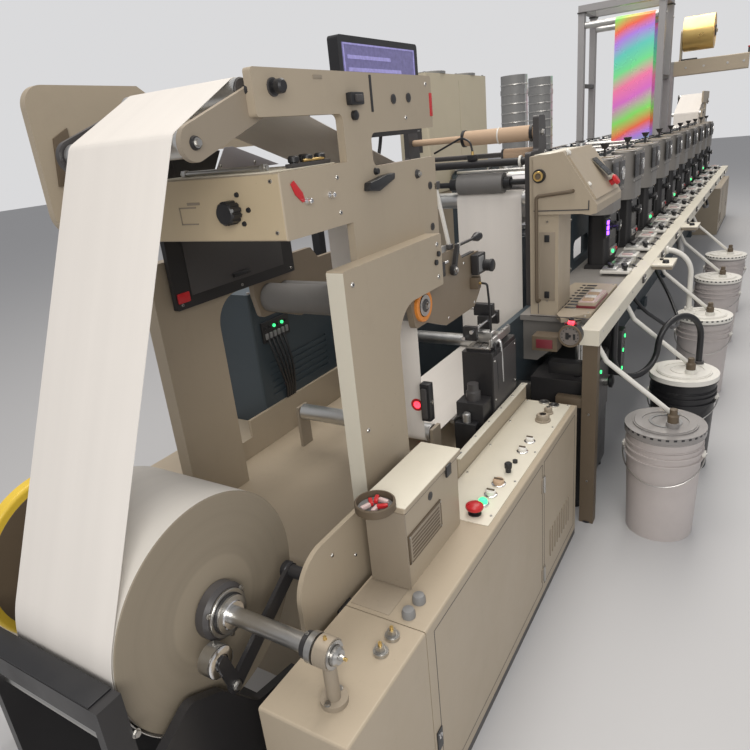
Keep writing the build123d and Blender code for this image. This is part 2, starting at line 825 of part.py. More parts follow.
def base_controls():
    """Row of knobs and buttons along the base top, nuts near its front, and the dish on the control box."""
    solids = []
    for i, x in enumerate(KNOB_XS):
        radius = 20 if i in (0, 7, 8) else 15
        knob = bar_z(x, 52, radius * 0.6, BASE_TOP, BASE_TOP + 12) + bar_z(x, 52, radius, BASE_TOP + 12, BASE_TOP + 26)
        solids.append(chamfer(knob.edges().sort_by(Axis.Z)[-1], 3))
    for x in NUT_XS:
        nut = bar_z(x, 60, 20, BASE_TOP, BASE_TOP + 6)
        nut += Pos(x, 60, BASE_TOP + 13) * extrude(RegularPolygon(13, 6), 7, both=True)
        solids.append(nut)
    y = (CONTROL_FACE + BASE_WIDTH) / 2
    dish = bar_z(DISH_X, y, DISH_R, CONTROL_TOP, CONTROL_TOP + DISH_T)
    solids.append(dish - bar_z(DISH_X, y, DISH_R - 6, CONTROL_TOP + 6, CONTROL_TOP + DISH_T + 1))
    return solids


def web_guide_box():
    x0 = GUIDE_X
    x1 = x0 + GUIDE_LENGTH
    y0 = BASE_WIDTH + 12
    y1 = FRAME_IN
    body = block(x0, x1, y0, y1, HOUSING_TOP, GUIDE_TOP)
    body = fillet(body.edges().filter_by(Axis.Z), 5)
    body += block(x0 + 12, x0 + 92, y0 + 14, y1 - 14, GUIDE_TOP, GUIDE_TOP + 8)
    body += block(x0 + 120, x1 - 14, y0 + 24, y1 - 14, GUIDE_TOP, GUIDE_TOP + 10)
    return [body]


def drive_cabinet():
    x0 = CABINET_X
    x1 = x0 + CABINET_LENGTH
    y0 = gear(BASE_WIDTH) + 12
    body = block(x0, x1, y0, y0 + CABINET_DEPTH, BASE_TOP, CABINET_TOP)
    body = fillet(body.edges().filter_by(Axis.Z), 8)
    for i in range(6):
        z = BASE_TOP + 104 + 26 * i
        body -= block(x0 + 60, x1 - 60, y0 - 1, y0 + 4, z, z + 10)
    return [body]


def monitor_housing():
    """Screen housing, and the post and arm that carry it over the web."""
    x1 = SCREEN_X + SCREEN_LENGTH
    top = SCREEN_LOW + SCREEN_HEIGHT
    back = SCREEN_FACE + SCREEN_T
    body = block(SCREEN_X, x1, SCREEN_FACE, back, SCREEN_LOW, top)
    body = fillet(body.edges().filter_by(Axis.Y), 14)
    rim = SCREEN_RIM
    body -= block(SCREEN_X + rim, x1 - rim, SCREEN_FACE - 1, SCREEN_FACE + 6, SCREEN_LOW + rim, top - rim)
    middle = SCREEN_X + SCREEN_LENGTH * 0.4
    post_y = gear(BASE_WIDTH) + 42
    arm_low = SCREEN_LOW + SCREEN_HEIGHT / 2 - SCREEN_POST / 2
    arm_top = arm_low + SCREEN_POST
    arm = block(middle, middle + SCREEN_POST, back, post_y + SCREEN_POST, arm_low, arm_top)
    post = block(middle, middle + SCREEN_POST, post_y, post_y + SCREEN_POST, BASE_TOP, arm_low)
    return [body, arm, post]


def monitor_screen():
    edge = SCREEN_RIM + SEAT
    x1 = SCREEN_X + SCREEN_LENGTH
    top = SCREEN_LOW + SCREEN_HEIGHT
    return [block(SCREEN_X + edge, x1 - edge, SCREEN_FACE + 1, SCREEN_FACE + 6, SCREEN_LOW + edge, top - edge)]


# Console

def console_post():
    x1 = POST_FRONT + POST_LENGTH
    body = block(POST_FRONT, x1, POST_FACE, POST_BACK, SHELF_TOP, HEAD_BASE)
    body += block(POST_FRONT, x1, HEAD_BACK, POST_BACK, HEAD_BASE, HEAD_CREST)
    return [body]


def slope_frame():
    """The sloped face: middle, direction downwards and normal, at the head's front end."""
    top = Vector(0, *SLOPE_TOP)
    low = Vector(0, *SLOPE_LOW)
    down = (low - top).normalized()
    return (top + low) * 0.5, down, Vector(0, down.Z, -down.Y)


def console_head():
    """Wedge with its sloped face towards the operator, and a raised panel on the slope."""
    points = [
        (HEAD_BACK, HEAD_CREST),
        SLOPE_TOP,
        SLOPE_LOW,
        (SLOPE_LOW[0], HEAD_BASE + 2),
        (SLOPE_LOW[0] + 25, HEAD_BASE - 5),
        (SLOPE_LOW[0] + 60, HEAD_BASE),
        (HEAD_BACK, HEAD_BASE),
    ]
    face = make_face(Polyline(*points, close=True))
    body = Pos(CONSOLE_X, 0, 0) * extrude(Plane.YZ * face, amount=CONSOLE_LENGTH)
    middle, down, normal = slope_frame()
    middle += Vector(CONSOLE_X + CONSOLE_LENGTH / 2, 0, 0)
    panel = Plane(origin=middle, x_dir=(1, 0, 0), z_dir=normal) * Box(CONSOLE_LENGTH - 40, 196, 12)
    return [body + panel]


def emergency_stop():
    middle, down, normal = slope_frame()
    place = middle + down * 68 + normal * 6 + Vector(CONSOLE_X + CONSOLE_LENGTH - 110, 0, 0)
    plane = Plane(origin=place, x_dir=(1, 0, 0), z_dir=normal)
    body = plane * (Pos(0, 0, 9) * Cylinder(13, 18) + Pos(0, 0, 25) * Cylinder(22, 14))
    return [chamfer(body.edges().filter_by(GeomType.CIRCLE).sort_by(Axis(place, normal))[-1], 4)]


def console_conduit():
    """Conduit from the side of the head, over to the post's edge, down it and into the post."""
    x = CONSOLE_X
    reach = CONDUIT_R * 2.5
    y1 = HEAD_BACK - 17
    start = HEAD_BASE + CONDUIT_RISE
    low = SHELF_TOP + CONDUIT_LOW
    points = [
        (x, CONDUIT_Y, start),
        (x - reach, CONDUIT_Y, start),
        (x - reach, y1, start - CONDUIT_R * 2),
        (x - reach, y1, low),
        (POST_FRONT, y1, low),
    ]
    path = FilletPolyline(*points, radius=15)
    ring = Plane(origin=path @ 0, z_dir=path % 0) * Circle(CONDUIT_R)
    return [sweep(ring, path)]


# Bed, deck and stations

def bed_sides():
    """Long side plates with windows and feet, and the leg under the deck rail's front end."""
    points = [(BED_FRONT, BED_LOW), (BED_FRONT, BED_TOP), (BED_BACK, BED_TOP), (BED_BACK, BED_LOW)]
    body = plate(outline(points, {0: 40, 1: 12, 2: 12, 3: 40}), BED_FACE, BED_FACE + BED_T)
    for x in centres():
        hole = Pos(x, WINDOW_Z) * RectangleRounded(PITCH - 150, WINDOW_HEIGHT, WINDOW_ROUND)
        body -= plate(hole, BED_FACE - 1, BED_FACE + BED_T + 1)
    feet = [FIRST + PITCH * (i + 0.5) for i in range(1, STATIONS - 1, 2)]
    for x in [BED_FRONT + 60] + feet + [BED_BACK - 60 - FOOT_LENGTH]:
        body += block(x, x + FOOT_LENGTH, BED_FACE - 30, BED_FACE + BED_T, 0, BED_LOW + 20)
    leg = block(LEG_X, LEG_X + LEG_LENGTH, RAIL_FACE + 6, RAIL_FACE + RAIL_WIDTH - 10, 0, RAIL_TOP - RAIL_DEEP)
    return [body, across(body), leg]


def bed_stretchers():
    inner = BED_FACE + BED_T
    solids = []
    for i in range(STATIONS + 1):
        x = FIRST + PITCH * (i - 0.5)
        solids.append(block(x - 30, x + 30, inner, gear(inner), 180, 260))
    return solids


def riser_plates():
    lug = RISER_BACK - 110
    points = [
        (RISER_FRONT, BED_TOP),
        (RISER_FRONT, RISER_TOP),
        (lug, RISER_TOP),
        (lug, RISER_LUG),
        (lug + 90, RISER_LUG),
        (RISER_BACK, RISER_TOP),
        (RISER_BACK, BED_TOP),
    ]
    face = outline(points, {1: 12, 2: 14, 3: 12, 4: 20})
    body = plate(face, BED_FACE, BED_FACE + BED_T)
    hole = Pos((RISER_FRONT + RISER_BACK) / 2 + 10, 1120) * RectangleRounded(120, 300, 40)
    body -= plate(hole, BED_FACE - 1, BED_FACE + BED_T + 1)
    return [body, across(body)]


def tie_bar():
    inner = BED_FACE + BED_T
    return [bar_y(TIE_X, TIE_Z, TIE_R, inner, gear(inner))]


def core_rollers():
    """Board cores near the operator's side, each on a shaft across the riser plates."""
    inner = BED_FACE + BED_T
    solids = []
    for x, z, radius, length in CORE_TUBES:
        core = bar_y(x, z, radius, inner + 6, inner + 6 + length)
        solids.append(core + bar_y(x, z, radius * 0.45, inner, gear(inner)))
    return solids


def deck_rail():
    low = RAIL_TOP - RAIL_DEEP
    body = block(DECK_FRONT, BED_BACK, RAIL_FACE, RAIL_FACE + RAIL_WIDTH, low, RAIL_TOP)
    top = body.edges().filter_by(Axis.X).group_by(Axis.Z)[-1]
    return [fillet(top, 4)]


def deck_shelf():
    """Shelf between rail and frames, with gussets under it."""
    y0 = RAIL_FACE + RAIL_WIDTH
    low = SHELF_TOP - SHELF_T
    body = block(SHELF_FRONT, BED_BACK, y0, BED_FACE, low, SHELF_TOP)
    deep = low - GUSSET_DEPTH
    corners = [(y0 + 10, low + 1), (BED_FACE, low + 1), (BED_FACE, deep), (BED_FACE - 60, deep)]
    gusset = make_face(Polyline(*corners, close=True))
    step = (BED_BACK - SHELF_FRONT - 92) / (STATIONS + 1)
    for i in range(STATIONS + 2):
        body += Pos(SHELF_FRONT + 40 + i * step, 0, 0) * extrude(Plane.YZ * gusset, amount=12)
    return [body]


def deck_controls():
    """Key panel round the console's post, a small box on it, and a round gauge at the rail's front end."""
    y0 = RAIL_FACE + RAIL_WIDTH + 5
    post_end = POST_FRONT + POST_LENGTH + 10
    points = [
        (SHELF_FRONT + 16, y0),
        (SHELF_FRONT - 80, POST_FACE - 40),
        (SHELF_FRONT - 20, POST_FACE - 5),
        (post_end, POST_FACE - 5),
        (post_end, POST_FACE + 95),
        (PANEL_BACK, POST_FACE + 60),
        (PANEL_BACK, y0),
    ]
    panel = Pos(0, 0, SHELF_TOP) * extrude(make_face(Polyline(*points, close=True)), amount=PANEL_TOP - SHELF_TOP)
    small = block(PANEL_BACK - 435, PANEL_BACK - 210, y0 + 2, y0 + 74, PANEL_TOP, PANEL_TOP + 22)
    panel += fillet(small.edges().filter_by(Axis.Z), 8)
    gauge = bar_x(GAUGE_Y, GAUGE_Z, GAUGE_R, DECK_FRONT - 30, DECK_FRONT)
    gauge += bar_z(DECK_FRONT - 14, GAUGE_Y, 10, GAUGE_Z + GAUGE_R - 4, GAUGE_Z + GAUGE_R + 20)
    gauge += block(DECK_FRONT, DECK_FRONT + 60, RAIL_FACE + RAIL_WIDTH, GAUGE_Y + 20, RAIL_TOP - RAIL_DEEP, RAIL_TOP - 6)
    return [panel, gauge]


def station_frames():
    solids = []
    for x in centres():
        points = [
            (x - FRAME_HALF, BED_TOP),
            (x - FRAME_HALF, FRAME_TOP),
            (x + FRAME_HALF, FRAME_TOP),
            (x + FRAME_HALF, BED_TOP),
        ]
        face = outline(points, {1: 70, 2: 70})
        face -= Pos(x, 935) * RectangleRounded(FRAME_HALF * 1.3, 110, 40)
        body = plate(face, BED_FACE, BED_FACE + BED_T)
        solids += [body, across(body)]
    return solids


def station_housings():
    """Rounded housings on the operator's side, each on a dark lower body, with an arm to its frame plate."""
    solids = []
    for x in centres():
        middle = HEAD_FACE + HEAD_DEPTH / 2
        shell = Pos(x, middle, HEAD_LOW) * extrude(SlotOverall(HEAD_LENGTH, HEAD_DEPTH), amount=FRAME_TOP - HEAD_LOW)
        shell = fillet(shell.faces().sort_by(Axis.Z)[-1].edges(), 4)
        shell += block(x - 60, x + 60, middle, BED_FACE, HEAD_LOW + 15, FRAME_TOP - 15)
        face = HEAD_FACE + HEAD_NECK
        stem = block(x - STEM_HALF, x + STEM_HALF, face, face + 110, SHELF_TOP, HEAD_LOW)
        shell += fillet(stem.edges().filter_by(Axis.Z), 30)
        shell += block(x - STEM_HALF - 25, x + STEM_HALF + 25, face - 6, face + 116, SHELF_TOP, SHELF_TOP + 18)
        solids.append(shell)
    return solids


def hand_knobs():
    """T-knobs on the housings and the screw knob on the nip bracket."""
    solids = []
    for x in centres():
        y = HEAD_FACE + HEAD_DEPTH / 2
        stem = bar_z(x, y, 6, FRAME_TOP, FRAME_TOP + 50)
        solids.append(stem + Pos(x, y, FRAME_TOP + 60) * Cone(12, 25, 26))
    knob_y = FRAME_IN - FRAME_T
    x = NIP_BACK - 40
    z = NIP_TOP - 90
    screw = bar_y(x, z, 7, knob_y - 30, knob_y) + bar_y(x, z, 20, knob_y - 55, knob_y - 30)
    return solids + [screw]


def line_cylinders(radius, z):
    inner = BED_FACE + BED_T
    solids = []
    for x in centres():
        body = bar_y(x, z, radius, inner + 14, gear(inner + 14))
        solids.append(body + bar_y(x, z, BEARER_R, inner, gear(inner)))
    return solids


IMPRESSION_Z = LINE_Z - WEB_T / 2 - WEB_GAP - IMPRESSION_R
PLATE_Z = LINE_Z + WEB_T / 2 + WEB_GAP + PLATE_R
ANILOX_Z = PLATE_Z + PLATE_R + WEB_GAP + ANILOX_R


def ink_chambers():
    inner = BED_FACE + BED_T
    solids = []
    for x in centres():
        face = x + ANILOX_R + WEB_GAP
        points = [
            (face, ANILOX_Z - 4),
            (face, ANILOX_Z + 4),
            (face + 16, ANILOX_Z + 26),
            (face + 62, ANILOX_Z + 34),
            (face + 62, ANILOX_Z - 34),
            (face + 16, ANILOX_Z - 26),
        ]
        solids.append(plate(outline(points), inner, gear(inner)))
    return solids


def tool_blocks():
    """Aluminium blocks, two a station, on the shelf."""
    solids = []
    for x in centres():
        for place, length in ((x - 170, 150), (x + 20, 120)):
            body = block(place, place + length, BLOCK_FACE, BLOCK_FACE + 88, SHELF_TOP, SHELF_TOP + 36)
            solids.append(fillet(body.edges().filter_by(Axis.Z), 16))
    return solids


def hood_centres():
    return [x + PITCH / 2 for x in centres()[:-1]]


def dryer_hoods():
    """Hoods over the web between the stations, and the two wide ducts behind."""
    inner = BED_FACE + BED_T
    solids = []
    for x in hood_centres():
        points = [
            (x - HOOD_HALF, HOOD_LOW),
            (x - HOOD_HALF, HOOD_TOP - 50),
            (x - HOOD_HALF + 40, HOOD_TOP),
            (x + HOOD_HALF - 40, HOOD_TOP),
            (x + HOOD_HALF, HOOD_TOP - 50),
            (x + HOOD_HALF, HOOD_LOW),
        ]
        body = plate(outline(points), inner, gear(inner))
        spigot = bar_z(x, gear(inner) - 90, 38, HOOD_TOP - 5, HOOD_TOP + 60)
        solids.append(body + spigot)
    for x in DUCT_XS:
        duct = bar_z(x, gear(BED_FACE) + GEAR_DEPTH / 2, DUCT_R, COVER_TOP, DUCT_TOP)
        duct += bar_z(x, gear(BED_FACE) + GEAR_DEPTH / 2, DUCT_R + 4, DUCT_TOP - 120, DUCT_TOP - 90)
        solids.append(duct)
    return solids


def dryer_cabinets():
    """Upright cabinet of the dryer on the first gear cover."""
    x0, x1 = CABINET_BACK_X
    face = gear(BED_FACE) + 10
    body = block(x0, x1, face, face + GEAR_DEPTH - 20, COVER_TOP, DRYER_TOP)
    body = fillet(body.edges().filter_by(Axis.Z), 12)
    seam = (x0 + x1) / 2
    body -= block(seam - 2, seam + 2, face - 1, face + 3, COVER_TOP + 30, DRYER_TOP - 30)
    return [body]


def gear_covers():
    face = gear(BED_FACE)
    solids = []
    for x in centres():
        body = block(x - FRAME_HALF + 8, x + FRAME_HALF - 8, face, face + GEAR_DEPTH, BED_TOP, COVER_TOP)
        outer = [e for e in body.edges() if e.center().Y > face + 1]
        body = fillet(outer, 10)
        body += bar_y(x, IMPRESSION_Z, 62, face + GEAR_DEPTH - 10, face + GEAR_DEPTH + 90)
        solids.append(body)
    return solids


# Film portal and foil arm

def film_posts():
    """X of the two posts: the film's front and back runs hang from rollers on these axes."""
    near = FILM_X + FILM_R + WEB_GAP + WEB_T / 2
    return (near, near + FILM_REACH)


def film_portal():
    """Two goalposts on the station frames, joined along the top, and the short post of the foil arm."""
    y0 = PORTAL_FACE
    y1 = y0 + PORTAL_T
    half = PORTAL_BAR / 2
    low = PORTAL_TOP - PORTAL_T
    near, back = film_posts()
    frame = block(near - half, near + half, y0, y1, FRAME_TOP, PORTAL_TOP)
    frame += block(back - half, back + half, y0, y1, FRAME_TOP, PORTAL_TOP)
    frame += block(near + half, back - half, y0, y1, low, PORTAL_TOP)
    solids = [frame, across(frame)]
    for x in (near, back):
        solids.append(block(x - half, x + half, y1, gear(y1), low, PORTAL_TOP))
    solids.append(block(FOIL_X - half, FOIL_X + half, y0, y1, FRAME_TOP, FOIL_POST))
    return solids


def film_web():
    near, back = film_posts()
    path = [
        pulley((near, FILM_LOW), FILM_R, -1),
        pulley((near, FILM_TOP), FILM_R, -1),
        pulley((back, FILM_TOP), FILM_R, -1),
        pulley((back, FILM_LOW), FILM_R, -1),
    ]
    return web(path, WEB_FRONT, WEB_BACK)


def foil_arm():
    """Beige arm across the operator's side, with an upright plate and a spindle for the foil roll."""
    holder = FOIL_FACE + FOIL_WIDTH + 12
    arm = block(FOIL_X - 40, FOIL_X + 40, -276, PORTAL_FACE, FOIL_POST - 120, FOIL_POST)
    arm = fillet(arm.edges().filter_by(Axis.Y), 8)
    arm += block(FOIL_X - 40, FOIL_X + 40, holder, holder + 14, FOIL_POST - 40, FOIL_Z)
    arm += bar_y(FOIL_X, FOIL_Z, 40, holder, holder + 14)
    arm += bar_y(FOIL_X, FOIL_Z, 15, FOIL_FACE - 20, holder)
    return [arm]


def foil_roll():
    body = bar_y(FOIL_X, FOIL_Z, FOIL_R, FOIL_FACE, FOIL_FACE + FOIL_WIDTH)
    return [body - bar_y(FOIL_X, FOIL_Z, 15 + SEAT, FOIL_FACE - 1, FOIL_FACE + FOIL_WIDTH + 1)]


# Pails

def ink_pails():
    solids = []
    for x in PAIL_XS:
        profile = make_face(Polyline((0, 0), (PAIL_FOOT_R, 0), (PAIL_R, PAIL_TOP), (0, PAIL_TOP), close=True))
        body = revolve(Plane.XZ * profile, Axis.Z)
        for z in (PAIL_TOP - 70, PAIL_TOP - 100):
            body += Pos(0, 0, z) * Cylinder(PAIL_R + 4, 6)
        solids.append(Pos(x, PAIL_Y, 0) * body)
    return solids


def pail_lids():
    """Lids, each with a short stub."""
    solids = []
    for x in PAIL_XS:
        lid = bar_z(x, PAIL_Y, PAIL_R + 8, PAIL_TOP, PAIL_TOP + 22)
        lid += bar_z(x, PAIL_Y, PAIL_R - 22, PAIL_TOP + 22, PAIL_TOP + LID_T)
        lid += bar_z(x - 40, PAIL_Y - 30, 24, PAIL_TOP + LID_T, PAIL_TOP + LID_T + 20)
        solids.append(lid)
    return solids


def return_pipes():
    """White pipes that drop from under the deck rail and bend towards the lids."""
    solids = []
    for x in PAIL_XS:
        top = Vector(x - PIPE_LEAN, RAIL_FACE + 30, RAIL_TOP - RAIL_DEEP - 0.01)
        bend = Vector(x - PIPE_LEAN + 25, RAIL_FACE - 10, RAIL_TOP - RAIL_DEEP - 90)
        low = Vector(x + 70, PAIL_Y - 20, PAIL_TOP + LID_T)
        solids.append(bent_pipe([top, bend, low], PAIL_TOP + LID_T, RAIL_TOP - RAIL_DEEP))
    return solids


def bent_pipe(spots, low, high):
    """Straight lengths with a ball at each bend, cut off level at both ends."""
    body = None
    first = (spots[1] - spots[0]).normalized() * 30
    last = (spots[-1] - spots[-2]).normalized() * 30
    path = [spots[0] - first] + spots[1:-1] + [spots[-1] + last]
    for a, b in zip(path, path[1:]):
        length = extrude(Plane(origin=a, z_dir=b - a) * Circle(PIPE_R), amount=(b - a).length)
        body = length if body is None else body + length
    for spot in path[1:-1]:
        body += Pos(spot.X, spot.Y, spot.Z) * Sphere(PIPE_R)
    middle = (spots[0] + spots[-1]) / 2
    return body & block(middle.X - 500, middle.X + 500, middle.Y - 500, middle.Y + 500, low, high)


def make_nodes():
    base = base_side()
    nodes = {
        "base_sides_operator": [base, along(base)],
        "base_sides_gear": [across(base), across(along(base))],
        "base_cross_housings": base_cross_housings(),
        "inner_guard_plate": inner_guard_plate(),
        "roll_stand": roll_stand(),
        "shaft_bearings": shaft_bearings(),
        "unwind_shaft": [shaft(ROLL_X)],
        "core_chucks": chucks(ROLL_X),
        "paper_roll": [roll(ROLL_X, ROLL_R)],
        "brake_arm": brake_arm(),
        "brake_guard": brake_guard(),
        "support_plates": support_plates(),
        "tower_plates": tower_plates(),
        "infeed_cross_box": infeed_cross_box(),
        "infeed_housing": infeed_housing(),
        "web_arms_gear": web_arms_gear(),
        "idler_arms": idler_arms(),
        "guide_idlers": guide_idlers(),
        "paper_web": paper_web(),
        "guide_knob": guide_knob(),
        "nip_brackets": nip_brackets(),
        "nip_rollers": nip_rollers(),
        "nip_end_rings": nip_end_rings(),
        "nip_lever": nip_lever(),
        "control_box": control_box(),
        "base_controls": base_controls(),
        "web_guide_box": web_guide_box(),
        "drive_cabinet": drive_cabinet(),
        "monitor_housing": monitor_housing(),
        "monitor_screen": monitor_screen(),
        "console_post": console_post(),
        "console_head": console_head(),
        "emergency_stop": emergency_stop(),
        "console_conduit": console_conduit(),
        "bed_sides": bed_sides(),
        "bed_stretchers": bed_stretchers(),
        "riser_plates": riser_plates(),
        "tie_bar": tie_bar(),
        "core_rollers": core_rollers(),
        "deck_rail": deck_rail(),
        "deck_shelf": deck_shelf(),
        "deck_controls": deck_controls(),
        "station_frames": station_frames(),
        "station_housings": station_housings(),
        "hand_knobs": hand_knobs(),
        "impression_cylinders": line_cylinders(IMPRESSION_R, IMPRESSION_Z),
        "plate_cylinders": line_cylinders(PLATE_R, PLATE_Z),
        "anilox_rolls": line_cylinders(ANILOX_R, ANILOX_Z),
        "ink_chambers": ink_chambers(),
        "tool_blocks": tool_blocks(),
        "dryer_hoods": dryer_hoods(),
        "dryer_cabinets": dryer_cabinets(),
        "gear_covers": gear_covers(),
        "film_portal": film_portal(),
        "film_web": film_web(),
        "foil_arm": foil_arm(),
        "foil_roll": foil_roll(),
        "ink_pails": ink_pails() + return_pipes(),
        "pail_lids": pail_lids(),
        "rewind_roll": [shaft(far(ROLL_X)), roll(far(ROLL_X), REWIND_R)] + chucks(far(ROLL_X)),
    }
    return nodes


def separate(shapes):
    """The separate solids of one node."""
    solids = []
    for shape in shapes:
        solids += shape.solids()
    return solids


nodes = {name: separate(shapes) for name, shapes in make_nodes().items()}
box = Compound([solid for solids in nodes.values() for solid in solids]).bounding_box()
shift = Pos(-(box.min.X + box.max.X) / 2, -(box.min.Y + box.max.Y) / 2, -box.min.Z)
print("moved by", [round(v, 3) for v in shift.position])
print("size", [round(v, 3) for v in box.size])
os.makedirs("parts", exist_ok=True)
for name, solids in nodes.items():
    export_step(Compound([shift * solid for solid in solids]), f"parts/{name}.step")
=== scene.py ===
import json
import math
from itertools import product

import bmesh
import bpy
from mathutils import Matrix, Vector


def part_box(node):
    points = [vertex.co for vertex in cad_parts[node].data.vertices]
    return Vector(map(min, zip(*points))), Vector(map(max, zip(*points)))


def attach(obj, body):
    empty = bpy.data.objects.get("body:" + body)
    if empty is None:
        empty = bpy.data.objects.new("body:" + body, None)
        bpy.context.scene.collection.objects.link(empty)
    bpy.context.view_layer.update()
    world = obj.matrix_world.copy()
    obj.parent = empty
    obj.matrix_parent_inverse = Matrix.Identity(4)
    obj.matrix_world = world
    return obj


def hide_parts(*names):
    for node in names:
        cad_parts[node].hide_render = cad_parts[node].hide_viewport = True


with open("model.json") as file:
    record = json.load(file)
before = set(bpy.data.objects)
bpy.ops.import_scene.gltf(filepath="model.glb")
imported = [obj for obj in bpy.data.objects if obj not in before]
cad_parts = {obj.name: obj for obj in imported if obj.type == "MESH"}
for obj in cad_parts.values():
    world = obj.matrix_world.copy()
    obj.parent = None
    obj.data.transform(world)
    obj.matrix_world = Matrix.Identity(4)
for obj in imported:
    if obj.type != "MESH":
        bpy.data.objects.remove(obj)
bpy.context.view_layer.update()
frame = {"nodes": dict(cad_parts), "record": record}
scene = bpy.context.scene
NODES = frame["nodes"]

# Places are written in millimetres from the operator's front corner of the unwind base
CORNER = Vector(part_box("base_sides_operator")[0])
STATIONS = 10
PITCH = 600
FIRST = 2900
CENTRES = [FIRST + PITCH * i for i in range(STATIONS)]
END = 10290
MIDDLE = 630
ROLL_X = 80
ROLL_Z = 700
NIP = (1017, 1112)
IDLER_C = (1043, 1490)
PAILS = (1800, 2385, 3345, 4300, 5100)
PAIL_Y = -290
LID_TOP = 468
GAUGE = (43, 833)

# Degrees between faces that make an edge sharp, and that make it rounded on the CAD nodes
FACE_ANGLE = 38
EDGE_ANGLE = 42


def at(x, y, z):
    return CORNER + Vector((x, y, z)) / 1000


def gear(y):
    return 2 * MIDDLE - y


def near(x):
    return x


def far(x):
    return END - x


def both(y):
    """A place on the operator's side and its twin on the gear side, with the way out of the press."""
    return (y, -1), (gear(y), 1)


def span(depth):
    return min(depth, 0), max(depth, 0)


ENDS = (near, far)
UP = (0, 0, 1)
FRONT = (-1, 0, 0)
NEAR = (0, -1, 0)
AWAY = (0, 1, 0)


# Camera

def make_camera():
    data = bpy.data.cameras.new("camera")
    data.lens = 30.317
    data.sensor_width = 36
    data.clip_end = 100
    camera = bpy.data.objects.new("camera", data)
    scene.collection.objects.link(camera)
    right = Vector((0.5085, -0.8558, -0.0951))
    up = Vector((0.3490, 0.1038, 0.9314))
    back = Vector((-0.7872, -0.5068, 0.3514))
    spot = at(-632, -548, 1600)
    rows = [(right[i], up[i], back[i], spot[i]) for i in range(3)]
    camera.matrix_world = Matrix(rows + [(0, 0, 0, 1)])
    scene.camera = camera


make_camera()
scene.view_settings.view_transform = "Standard"


# Light and floor

def area_light(name, spot, aim, size, power, colour):
    data = bpy.data.lights.new(name, "AREA")
    data.shape = "RECTANGLE"
    data.size, data.size_y = size
    data.energy = power
    data.color = colour
    lamp = bpy.data.objects.new(name, data)
    lamp.location = spot
    lamp.rotation_euler = (Vector(aim) - Vector(spot)).to_track_quat("-Z", "Y").to_euler()
    scene.collection.objects.link(lamp)


def set_world():
    world = bpy.data.worlds.new("world")
    scene.world = world
    world.use_nodes = True
    nodes, links = world.node_tree.nodes, world.node_tree.links
    nodes.clear()
    out = nodes.new("ShaderNodeOutputWorld")
    shown = nodes.new("ShaderNodeBackground")
    shown.inputs["Color"].default_value = (0.70, 0.70, 0.71, 1)
    lighting = nodes.new("ShaderNodeBackground")
    lighting.inputs["Color"].default_value = (0.98, 0.98, 1.0, 1)
    lighting.inputs["Strength"].default_value = 0.44
    path = nodes.new("ShaderNodeLightPath")
    mix = nodes.new("ShaderNodeMixShader")
    most = nodes.new("ShaderNodeMath")
    most.operation = "MAXIMUM"
    links.new(path.outputs["Is Camera Ray"], most.inputs[0])
    links.new(path.outputs["Is Transmission Ray"], most.inputs[1])
    links.new(most.outputs[0], mix.inputs[0])
    links.new(lighting.outputs[0], mix.inputs[1])
    links.new(shown.outputs[0], mix.inputs[2])
    links.new(mix.outputs[0], out.inputs[0])


def make_floor():
    half = 30
    mesh = bpy.data.meshes.new("floor")
    mesh.from_pydata([(-half, -half, 0), (half, -half, 0), (half, half, 0), (-half, half, 0)], [], [(0, 1, 2, 3)])
    floor = bpy.data.objects.new("floor", mesh)
    scene.collection.objects.link(floor)
    material = bpy.data.materials.new("floor")
    material.use_nodes = True
    shader = material.node_tree.nodes["Principled BSDF"]
    shader.inputs["Base Color"].default_value = (0.50, 0.50, 0.51, 1)
    shader.inputs["Roughness"].default_value = 0.6
    mesh.materials.append(material)


set_world()
make_floor()
area_light("overhead", (0, 0.3, 5.6), (0, 0.1, 0), (12, 2.6), 380, (1.0, 0.95, 0.88))
area_light("near_fill", (-6.7, -1.7, 1.9), (-4.1, 0.1, 1.2), (1.4, 0.9), 26, (1.0, 0.98, 0.95))
area_light("front", (-9.0, -4.0, 4.2), (-3.5, 0, 0.9), (3.5, 2.5), 120, (1.0, 0.97, 0.92))


# Materials

